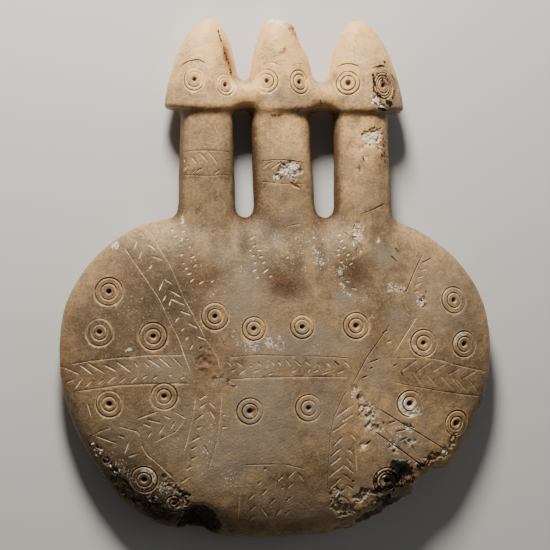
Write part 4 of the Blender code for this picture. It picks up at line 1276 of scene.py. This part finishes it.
def carve(body):
    """Cuts every mark, line and stroke, and returns the frame on which each mark sits."""
    skin = Skin(body)
    seats = [skin.seat(mark.x, mark.y, mark.outer) for mark in MARKS]
    rings = []
    inner = []
    for mark, seat in zip(MARKS, seats):
        outer_ring, inner_ring, dot = mark_cutters(skin, seat, mark)
        rings.append(outer_ring)
        inner += [inner_ring, dot]
    extra = [
        circle_groove(skin, skin.seat(x, y, radius), radius, squeeze, depth, 0.0, 0.2, EXTRA_SIDES)
        for x, y, radius, squeeze, depth in EXTRA_RINGS
    ]
    for group in [rings, inner, extra] + apart(line_cutters(skin)):
        take_away(body, joined(group), CUT_SOLVER)
    return seats


# Surface values that the material reads


def line_values(places):
    """Tone and nearness of the closest incised line or stroke at each vertex."""
    nearness = np.full(len(places), 9.0)
    tone = np.zeros(len(places))
    flat = places[:, :2]
    runs = [(corners, line_tone) for corners, _, line_tone in LINES]
    runs += [(((x1, y1), (x2, y2)), gouge_tone) for (x1, y1, x2, y2), _, _, gouge_tone in GOUGES]
    for _, stroke_tone, strokes in STROKES:
        runs += [(((x1, y1), (x2, y2)), stroke_tone) for x1, y1, x2, y2 in strokes]
    for corners, run_tone in runs:
        for start, end in zip(corners, corners[1:]):
            start, end = np.array(start), np.array(end)
            along = end - start
            share = np.clip(((flat - start) @ along) / (along @ along), 0.0, 1.0)
            distance = np.linalg.norm(flat - start - share[:, None] * along, axis=1)
            closer = distance < nearness
            nearness[closer] = distance[closer]
            tone[closer] = run_tone
    return nearness, tone


def smoothed(values, edges, passes):
    """Values at the vertices after they have been evened out with their neighbours."""
    count = len(values)
    ends = edges.ravel()
    others = edges[:, ::-1].ravel()
    order = np.argsort(ends, kind="stable")
    starts = np.searchsorted(ends[order], np.arange(count))
    neighbours = others[order]
    number = np.maximum(np.bincount(ends, minlength=count), 1)[:, None]
    for _ in range(passes):
        values = 0.4 * values + 0.6 * np.add.reduceat(values[neighbours], starts, axis=0) / number
    return values


def hollowness(mesh, places, facings):
    """How far each vertex lies under its surroundings: close by, and a few millimetres about."""
    edges = np.empty(len(mesh.edges) * 2, np.int32)
    mesh.edges.foreach_get("vertices", edges)
    edges = edges.reshape(-1, 2)
    close = smoothed(places, edges, CLOSE_PASSES)
    broad = smoothed(close, edges, BROAD_PASSES)
    return ((close - places) * facings).sum(axis=1), ((broad - places) * facings).sum(axis=1)


class Surface:
    """The carved stone at each vertex: place, facing, hollows, and the noises that its tones follow."""

    def __init__(self, mesh, uncut, whole):
        self.places = vertex_places(mesh)
        self.facings = vertex_facings(mesh)
        self.depth = distances(uncut, self.places)
        lost = distances(whole, self.places) - self.depth
        self.broken = smooth_step(*BROKEN_TONE, lost) * (self.places[:, 2] > FLAT_BACK)
        self.front = smooth_step(*FRONT_TONE, self.places[:, 2])
        self.ragged = ragged_edges(self.places)
        self.clouds = waves(self.places, CLOUD_SIZE, 3, 2.0)
        self.streaks = waves(self.places, STREAK_SIZE, 3, 17.0)
        self.close_hollow, self.broad_hollow = hollowness(mesh, self.places, self.facings)

    def strongest(self, entries, ragged, edge):
        """The strongest of a set of ragged ovals, each with its strength last."""
        values = np.zeros(len(self.places))
        for entry in entries:
            reach = oval_reach(self.places, entry[:5]) + ragged
            values = np.maximum(values, smooth_step(*edge, reach) * entry[-1])
        return values


def patina_and_shade_depth(places, ragged):
    """The patina by height, with its painted shade, and the patches where it is deeper or thinner, some of
    which are painted shade or painted light.
    """
    heights, depths = zip(*PATINA_AND_SHADE_BY_HEIGHT)
    patina_and_shade = np.interp(places[:, 1], heights, depths)
    for *oval, change in TONE_PATCHES:
        reach = oval_reach(places, oval) + 0.3 * ragged
        patina_and_shade += change * np.exp(-np.maximum(reach, 0.0) ** 2)
    return patina_and_shade


def lips_of(mark, out, angle, streaks):
    """How clean a mark's rubbed lips are, with a painted highlight that makes them lightest on the side below
    each groove and below the pit.
    """
    lips = np.zeros(len(out))
    for ring in (mark.outer, mark.inner_share * mark.outer):
        # Painted highlight: lighter on the side of each groove that lies below it
        lower = 0.45 + 0.55 * smooth_step(-0.3, 0.8, -np.sign(out - ring) * np.sin(angle))
        lips = np.maximum(lips, lower * np.exp(-((np.abs(out - ring) - LIP_REACH) / LIP_WIDTH) ** 2))
    # Painted highlight: lighter below the pit
    lower = 0.3 + 0.7 * smooth_step(0.2, -0.8, np.sin(angle))
    lips = np.maximum(lips, lower * np.exp(-((out / mark.pit_radius - PIT_LIP) / PIT_LIP_WIDTH) ** 2))
    return lips * np.clip(1 + 0.5 * streaks, 0.5, 1.2)


def mark_values(stone, seats):
    """Which vertices are in a drilled mark, and how dark, how chalky, and how clean and painted-lit the mark
    is there.
    """
    inside, dark, pale, clean_and_lit = np.zeros((4, len(stone.places)))
    for mark, seat in zip(MARKS, seats):
        into = np.array(seat.inverted())
        local = stone.places @ into[:3, :3].T + into[:3, 3]
        east, north = local[:, 0] / mark.squeeze, local[:, 1]
        within = np.hypot(east, north) < mark.outer + LIP_ROOM
        near = np.flatnonzero(within & (np.abs(local[:, 2]) < SEAT_DEPTH))
        out = np.hypot(east[near], north[near])
        angle = np.arctan2(north[near], east[near])
        depth, streaks, ragged = stone.depth[near], stone.streaks[near], stone.ragged[near]

        dark_side = 0.5 - 0.5 * np.cos(angle - math.radians(mark.worn_heading))
        filled = smooth_step(0.75 - mark.dirt, 1.25 - mark.dirt, dark_side + 0.6 * streaks)
        in_groove = smooth_step(*MARK_DEPTH, depth / mark.depth)
        in_pit = smooth_step(*PIT_REACH, out / mark.pit_radius) * smooth_step(0.2, 0.7, depth)
        dark[near] = np.maximum(in_groove * filled, in_pit)

        inner = mark.inner_share
        between_rings = smooth_step(inner - 0.08, inner + 0.06, out / mark.outer) * (out < mark.outer)
        pale_side = np.cos(angle - math.radians(mark.pale_heading)) + 0.5 * ragged
        dusty = between_rings * smooth_step(0.7 - 1.9 * mark.dust, 1.6 - 1.9 * mark.dust, pale_side)
        pale[near] = dusty * (0.2 + 0.7 * mark.dust) * (1 - in_groove * filled) * (1 - in_pit)

        lips = lips_of(mark, out, angle, streaks)
        clean_and_lit[near] = np.maximum(lips, 0.6 * in_groove * (1 - filled)) * (1 - in_pit)
        inside[near] = 1.0
    return inside, dark, pale, clean_and_lit


def groove_values(stone, seats):
    """Which vertices are in a mark or in a line, and how dark, how chalky, and how clean and painted-lit they
    are there.
    """
    in_mark, dirt, chalk, clean_and_lit = mark_values(stone, seats)
    nearness, tone = line_values(stone.places)
    in_line = (nearness < LINE_REACH) * (1 - in_mark)
    rubbed = in_line * smooth_step(*RUBBED_DEPTH, stone.depth)
    dirt += in_line * smooth_step(*DIRTY_DEPTH, stone.depth) * np.clip(-tone, 0, 1)
    chalk += rubbed * np.clip(tone, 0, 1) * np.clip(1.0 + 0.9 * stone.streaks, 0.2, 1.3)
    clean_and_lit = np.maximum(clean_and_lit, rubbed * np.clip(0.2 + tone, 0, 1))
    return in_mark, in_line, dirt, chalk, clean_and_lit


def worn_values(stone, dirt, chalk, in_mark, in_line):
    """Adds scars, flecks and the break's rubbed edge to the chalk, and the scars' hollows to the dirt."""
    scarred = stone.front * stone.strongest(SCARS, RAGGED_SCAR * stone.ragged, SCAR_EDGE)
    chalk = np.maximum(chalk, scarred * np.clip(1.0 - 4.0 * stone.close_hollow, 0.0, 1.0))
    flecked = stone.front * stone.strongest(FLECKS, 0.35 * stone.ragged, FLECK_EDGE)
    chalk = np.maximum(chalk, flecked * (1 - in_line))
    edge = smooth_step(*EDGE_FROM_SKIN, stone.broken) * smooth_step(*EDGE_FROM_BREAK, stone.broken)
    edge *= stone.places[:, 0] > RUBBED_EAST_OF
    chalk = np.maximum(chalk, stone.front * edge * np.clip(0.62 + 0.8 * stone.ragged, 0.0, 0.8))
    whole_scars = [scar[:5] + (1.0,) for scar in SCARS]
    worn = stone.front * stone.strongest(whole_scars, RAGGED_SCAR * stone.ragged, WORN_EDGE)
    dirt = np.maximum(dirt, 0.45 * worn * smooth_step(0.06, 0.20, stone.close_hollow) * (1 - in_mark))
    return dirt, chalk


def steepness(stone):
    """1 on the steep sides of the necks and heads."""
    return smooth_step(*STEEP, stone.facings[:, 2]) * smooth_step(*NECKS_BEGIN, stone.places[:, 1])


def patina_and_shade_values(stone, in_mark, in_line, crust, clean_and_lit):
    """How deep the patina and painted shade are: by height, painted shade on steep sides and in hollows,
    darker on breaks, lighter on the marks' lips with a painted highlight, and painted shade toward the lower
    rim.
    """
    north = stone.places[:, 1]
    patina_and_shade = patina_and_shade_depth(stone.places, stone.ragged) + 0.10 * stone.clouds + 0.05 * stone.ragged
    # Painted shade on the steep sides of the necks, and less of it on the heads
    patina_and_shade += (0.10 + 0.27 * smooth_step(*HEADS_END, north)) * steepness(stone)
    # The heads' sideways-facing sides are made lighter, by more than that painted shade
    patina_and_shade -= 0.22 * smooth_step(*SIDEWAYS, stone.facings[:, 2]) * smooth_step(*HEADS_BEGIN, north)
    # Painted shade in hollows and painted light on rises, a few millimetres about and close by
    patina_and_shade += np.clip(0.18 * stone.broad_hollow, -0.10, 0.18)
    patina_and_shade += np.clip(1.2 * stone.close_hollow, -0.12, 0.30) * (1 - in_line) * (1 - in_mark)
    # Darker on the breaks: partly the broken stone's own darker grey, partly painted shade
    patina_and_shade += 0.40 * stone.broken
    # Lighter on rubbed lips and clean grooves, with a painted highlight below each groove and below each pit
    patina_and_shade -= CLEAN_AND_LIT_LIPS * clean_and_lit * np.clip(1.2 - crust, 0, 1)
    # Painted shade toward the lower rim
    out = np.hypot(stone.places[:, 0] - DISC_CENTRE[0], north - DISC_CENTRE[1]) / RIM_SIZE
    return patina_and_shade + 0.42 * smooth_step(*NEAR_RIM, out) * smooth_step(*LOWER_DISC, north)


def lay_values(body, uncut, whole, seats):
    """Writes how deep the patina and its painted shade are at each point, and how rusty, chalky, crusted and
    dirty it is, with a warm painted shade in the rust on the necks' steep sides.
    """
    mesh = body.data
    stone = Surface(mesh, uncut, whole)
    in_mark, in_line, dirt, chalk, clean_and_lit = groove_values(stone, seats)
    dirt, chalk = worn_values(stone, dirt, chalk, in_mark, in_line)
    north = stone.places[:, 1]
    crust = stone.front * stone.strongest(CRUSTS, RAGGED_SCAR * stone.ragged, CRUST_EDGE)
    rust_and_shade = stone.strongest(STAINS, 0.12 * stone.clouds + 0.4 * stone.ragged, STAIN_EDGE)
    # Warm painted shade, in the rust colour, on the necks' steep sides
    rust_and_shade = np.maximum(rust_and_shade, 0.30 * steepness(stone) * smooth_step(*HEADS_END, north))
    bloom = stone.front * stone.strongest(BLOOM, 0.4 * stone.clouds + 0.4 * stone.ragged, BLOOM_EDGE)
    # On the disc, the clean lips with their painted highlight take the bloom's grey
    bloom = np.maximum(bloom, 0.42 * clean_and_lit * smooth_step(*DISC_BEGINS, north)) * (1 - 0.9 * rust_and_shade)
    patina_and_shade = patina_and_shade_values(stone, in_mark, in_line, crust, clean_and_lit)
    laid = {"dirt": dirt, "chalk": chalk, "crust": crust, "rust_and_shade": rust_and_shade, "bloom": bloom, "patina_and_shade": patina_and_shade}
    for name, values in laid.items():
        attribute = mesh.attributes.new(name, "FLOAT", "POINT")
        attribute.data.foreach_set("value", np.clip(values, 0.0, 1.0).astype(np.float32))


# The material


class Sheet:
    """Short calls for laying out a material's nodes."""

    def __init__(self, material):
        material.use_nodes = True
        self.tree = material.node_tree
        self.shader = self.tree.nodes["Principled BSDF"]
        self.column = 0

    def node(self, kind, sockets=(), **settings):
        """A new node beside the last one, with the values of its sockets and its own settings."""
        made = self.tree.nodes.new(kind)
        self.column += 1
        made.location = (-1800 + 130 * self.column, -180 * (self.column % 4))
        for name, value in settings.items():
            setattr(made, name, value)
        for name, value in sockets:
            made.inputs[name].default_value = value
        return made

    def link(self, output, socket):
        self.tree.links.new(output, socket)

    def value(self, name):
        """A value that is stored on the surface."""
        return self.node("ShaderNodeAttribute", attribute_name=name).outputs["Fac"]

    def noise(self, coordinates, scale, detail, roughness, distortion=0.0):
        made = self.node("ShaderNodeTexNoise", (
            ("Scale", scale), ("Detail", detail), ("Roughness", roughness), ("Distortion", distortion),
        ))
        self.link(coordinates, made.inputs["Vector"])
        return made.outputs["Fac"]

    def scratches(self, coordinates, turn, length, width):
        """Noise drawn out into scratches that run at an angle over the face."""
        made = self.node("ShaderNodeMapping", vector_type="TEXTURE")
        made.inputs["Rotation"].default_value = (0.0, 0.0, math.radians(turn))
        made.inputs["Scale"].default_value = (length, width, length)
        self.link(coordinates, made.inputs["Vector"])
        return self.noise(made.outputs["Vector"], scale=1.0, detail=2.0, roughness=0.5)

    def spread(self, value, low, high, to_low=0.0, to_high=1.0):
        """A value stretched from one range to another and held inside it."""
        made = self.node("ShaderNodeMapRange", (
            ("From Min", low), ("From Max", high), ("To Min", to_low), ("To Max", to_high),
        ), clamp=True)
        self.link(value, made.inputs["Value"])
        return made.outputs["Result"]

    def reckoned(self, kind, first, second):
        """One value worked out from two, either of which may be a plain number."""
        made = self.node("ShaderNodeMath", operation=kind)
        for socket, part in zip(made.inputs, (first, second)):
            if isinstance(part, float):
                socket.default_value = part
            else:
                self.link(part, socket)
        return made.outputs["Value"]

    def plus(self, first, second):
        return self.reckoned("ADD", first, second)

    def times(self, first, second):
        return self.reckoned("MULTIPLY", first, second)

    def larger(self, first, second):
        return self.reckoned("MAXIMUM", first, second)

    def ramp(self, value, stops):
        """A colour that runs through the stops as the value goes from 0 to 1."""
        made = self.node("ShaderNodeValToRGB")
        points = made.color_ramp.elements
        while len(points) < len(stops):
            points.new(0.5)
        for point, (at, colour) in zip(points, stops):
            point.position = at
            point.color = (*colour, 1.0)
        self.link(value, made.inputs["Fac"])
        return made.outputs["Color"]

    def mixed(self, share, under, over):
        """A plain colour laid over another."""
        made = self.node("ShaderNodeMix", data_type="RGBA", clamp_factor=True)
        self.link(share, made.inputs["Factor"])
        self.link(under, made.inputs[6])
        made.inputs[7].default_value = (*over, 1.0)
        return made.outputs[2]


def crumbled(sheet, name, crumbs, full, strength):
    """A surface value broken up into crumbs, and kept off where there is next to none of it."""
    value = sheet.value(name)
    broken_up = sheet.spread(sheet.plus(value, crumbs), 0.42, full, 0.0, strength)
    return sheet.times(broken_up, sheet.spread(value, 0.0, 0.2))


def alabaster(colours):
    """Warm stone under patina with painted shade and painted highlights in it, with scars, stains, crust and
    dirt where the surface values put them.
    """
    material = bpy.data.materials.new("alabaster")
    sheet = Sheet(material)
    where = sheet.node("ShaderNodeTexCoord").outputs["Object"]
    cloud, mottle, speckle, grain = (sheet.noise(where, *kind) for kind in (CLOUD, MOTTLE, SPECKLE, GRAIN))
    crumbs = sheet.spread(sheet.times(sheet.plus(grain, speckle), 0.5), 0.32, 0.68, -0.42, 0.42)
    scratched = sheet.larger(*(sheet.scratches(where, *run) for run in SCRATCHES))

    uneven = sheet.spread(cloud, 0.30, 0.70, -0.08, 0.08)
    for value, thinner, deeper in ((mottle, -0.12, 0.11), (speckle, -0.12, 0.10)):
        uneven = sheet.plus(uneven, sheet.spread(value, 0.30, 0.70, thinner, deeper))
    patina_and_shade = sheet.value("patina_and_shade")
    patina_and_shade = sheet.plus(patina_and_shade, sheet.times(uneven, sheet.spread(patina_and_shade, 0.25, 0.80, 1.6, 0.65)))
    stops = ((0.0, colours.cream), (HONEY_AT, colours.honey), (BROWN_AT, colours.brown), (1.0, colours.dusk))
    colour = sheet.ramp(patina_and_shade, stops)

    for name, thinnest, film in (("bloom", 0.70, colours.bloom), ("rust_and_shade", 0.35, colours.rust_and_shade)):
        share = sheet.times(sheet.value(name), sheet.spread(mottle, 0.36, 0.60, thinnest, 1.0))
        colour = sheet.mixed(share, colour, film)
    for value, start, end, most, fleck in (
        (grain, 0.60, 0.70, 0.50, colours.cream),
        (speckle, 0.37, 0.28, 0.42, colours.dusk),
        (scratched, 0.66, 0.78, 0.10, colours.cream),
    ):
        colour = sheet.mixed(sheet.spread(value, start, end, 0.0, most), colour, fleck)

    chalk = crumbled(sheet, "chalk", crumbs, 0.62, 0.85)
    colour = sheet.mixed(chalk, colour, colours.chalk)
    crust = crumbled(sheet, "crust", crumbs, 0.60, 1.0)
    colour = sheet.mixed(crust, colour, colours.crust)
    dirt = sheet.spread(sheet.value("dirt"), 0.38, 0.86)
    dirt = sheet.times(dirt, sheet.spread(speckle, 0.3, 0.6, 0.8, 1.0))
    colour = sheet.mixed(dirt, colour, colours.dirt)
    sheet.link(colour, sheet.shader.inputs["Base Color"])

    matt = sheet.spread(sheet.larger(sheet.larger(chalk, crust), patina_and_shade), 0.0, 1.0, 0.27, 0.62)
    rough = sheet.plus(matt, sheet.spread(speckle, 0.3, 0.7, -0.06, 0.08))
    sheet.link(rough, sheet.shader.inputs["Roughness"])
    sheet.shader.inputs["Subsurface Weight"].default_value = 0.06
    sheet.shader.inputs["Subsurface Radius"].default_value = (1.0, 0.55, 0.30)
    sheet.shader.inputs["Subsurface Scale"].default_value = 0.0008
    sheet.shader.inputs["IOR"].default_value = 1.46
    sheet.shader.inputs["Specular IOR Level"].default_value = 0.25

    bump = sheet.node("ShaderNodeBump")
    bump.inputs["Strength"].default_value = 0.60
    bump.inputs["Distance"].default_value = 0.0004
    height = sheet.plus(sheet.times(speckle, 0.6), sheet.times(grain, 0.5))
    height = sheet.plus(height, sheet.times(mottle, 1.1))
    height = sheet.reckoned("SUBTRACT", height, sheet.spread(scratched, 0.62, 0.75, 0.0, 0.08))
    sheet.link(height, bump.inputs["Height"])
    sheet.link(bump.outputs["Normal"], sheet.shader.inputs["Normal"])
    return material


def plain_material(name, colour, roughness):
    material = bpy.data.materials.new(name)
    material.use_nodes = True
    shader = material.node_tree.nodes["Principled BSDF"]
    shader.inputs["Base Color"].default_value = (*colour, 1.0)
    shader.inputs["Roughness"].default_value = roughness
    return material


# Operators


class OBJECT_OT_idol_stone(bpy.types.Operator):
    """Model, wear, carve and colour the stone"""

    bl_idname = "object.idol_stone"
    bl_label = "Stone"

    def execute(self, context):
        sizes = context.scene.idol_stone
        body = softened_forms(sizes)
        whole = tree_of(body.data)
        break_stone(body, sizes)
        refine(body, whole)
        roughen(body, whole, sizes)
        thin_back(body, sizes)
        uncut = tree_of(body.data)
        seats = carve(body)
        lay_values(body, uncut, whole, seats)
        mesh = body.data
        mesh.transform(Matrix.Scale(MM, 4) @ Matrix.Translation(CENTRING))
        mesh.materials.clear()
        mesh.materials.append(alabaster(context.scene.idol_colours))
        mesh.shade_smooth()
        mesh.set_sharp_from_angle(angle=SHARP_EDGE)
        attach(body, "root")
        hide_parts("idol")
        return {"FINISHED"}


def soft_light(name, place, aim, width, colour, power):
    """A round light that shines from its place towards its aim."""
    data = bpy.data.lights.new(name, "AREA")
    data.shape = "DISK"
    data.size = width
    data.energy = power
    data.color = colour
    lamp = bpy.data.objects.new(name, data)
    bpy.context.scene.collection.objects.link(lamp)
    lamp.location = place
    lamp.rotation_euler = (Vector(aim) - Vector(place)).to_track_quat("-Z", "Y").to_euler()


class OBJECT_OT_idol_stage(bpy.types.Operator):
    """Lay the floor, hang the lights and place the camera"""

    bl_idname = "object.idol_stage"
    bl_label = "Stage"

    def execute(self, context):
        settings = context.scene.idol_stage
        bm = bmesh.new()
        bmesh.ops.create_grid(bm, x_segments=2, y_segments=2, size=FLOOR_SIZE / 2)
        floor = object_from("floor", bm)
        floor.data.materials.append(plain_material("pale floor", settings.floor_colour, FLOOR_ROUGHNESS))

        soft_light("key", *KEY_LIGHT, settings.key_power)
        soft_light("fill", *FILL_LIGHT, settings.fill_power)
        world = bpy.data.worlds.new("studio")
        world.use_nodes = True
        light = world.node_tree.nodes["Background"]
        light.inputs["Color"].default_value = (1.0, 1.0, 1.0, 1.0)
        light.inputs["Strength"].default_value = settings.sky
        context.scene.world = world

        target = Vector(VIEW_TARGET) * MM
        right = Vector((math.cos(VIEW_YAW), 0.0, math.sin(VIEW_YAW)))
        up = Vector((0.0, 1.0, 0.0))
        towards_eye = right.cross(up)
        data = bpy.data.cameras.new("camera")
        data.sensor_width = SENSOR
        data.lens = SENSOR * VIEW_DISTANCE / VIEW_WIDTH
        data.shift_x = TARGET_OFF_CENTRE[0] / FRAME_PIXELS
        data.shift_y = TARGET_OFF_CENTRE[1] / FRAME_PIXELS
        data.clip_start = 0.01
        camera = bpy.data.objects.new("camera", data)
        context.scene.collection.objects.link(camera)
        turn = Matrix((right, up, towards_eye)).transposed().to_4x4()
        camera.matrix_world = Matrix.Translation(target + VIEW_DISTANCE * towards_eye) @ turn
        context.scene.camera = camera
        return {"FINISHED"}


class VIEW3D_PT_idol(bpy.types.Panel):
    bl_label = "Alabaster disc idol"
    bl_space_type = "VIEW_3D"
    bl_region_type = "UI"
    bl_category = "Idol"

    def draw(self, context):
        for title, group, operator in (
            ("Stone", context.scene.idol_stone, "object.idol_stone"),
            ("Colours", context.scene.idol_colours, None),
            ("Stage", context.scene.idol_stage, "object.idol_stage"),
        ):
            box = self.layout.box()
            box.label(text=title)
            for name in group.bl_rna.properties.keys():
                if name not in ("rna_type", "name"):
                    box.prop(group, name)
            if operator:
                box.operator(operator)


CLASSES = (
    StoneSizes, StoneColours, StageSettings, OBJECT_OT_idol_stone, OBJECT_OT_idol_stage, VIEW3D_PT_idol,
)


def register():
    for kind in CLASSES:
        bpy.utils.register_class(kind)
    bpy.types.Scene.idol_stone = PointerProperty(type=StoneSizes)
    bpy.types.Scene.idol_colours = PointerProperty(type=StoneColours)
    bpy.types.Scene.idol_stage = PointerProperty(type=StageSettings)


def unregister():
    del bpy.types.Scene.idol_stage
    del bpy.types.Scene.idol_colours
    del bpy.types.Scene.idol_stone
    for kind in reversed(CLASSES):
        bpy.utils.unregister_class(kind)


def main():
    register()
    bpy.ops.object.idol_stage()
    bpy.ops.object.idol_stone()


if __name__ == "__main__":
    main()
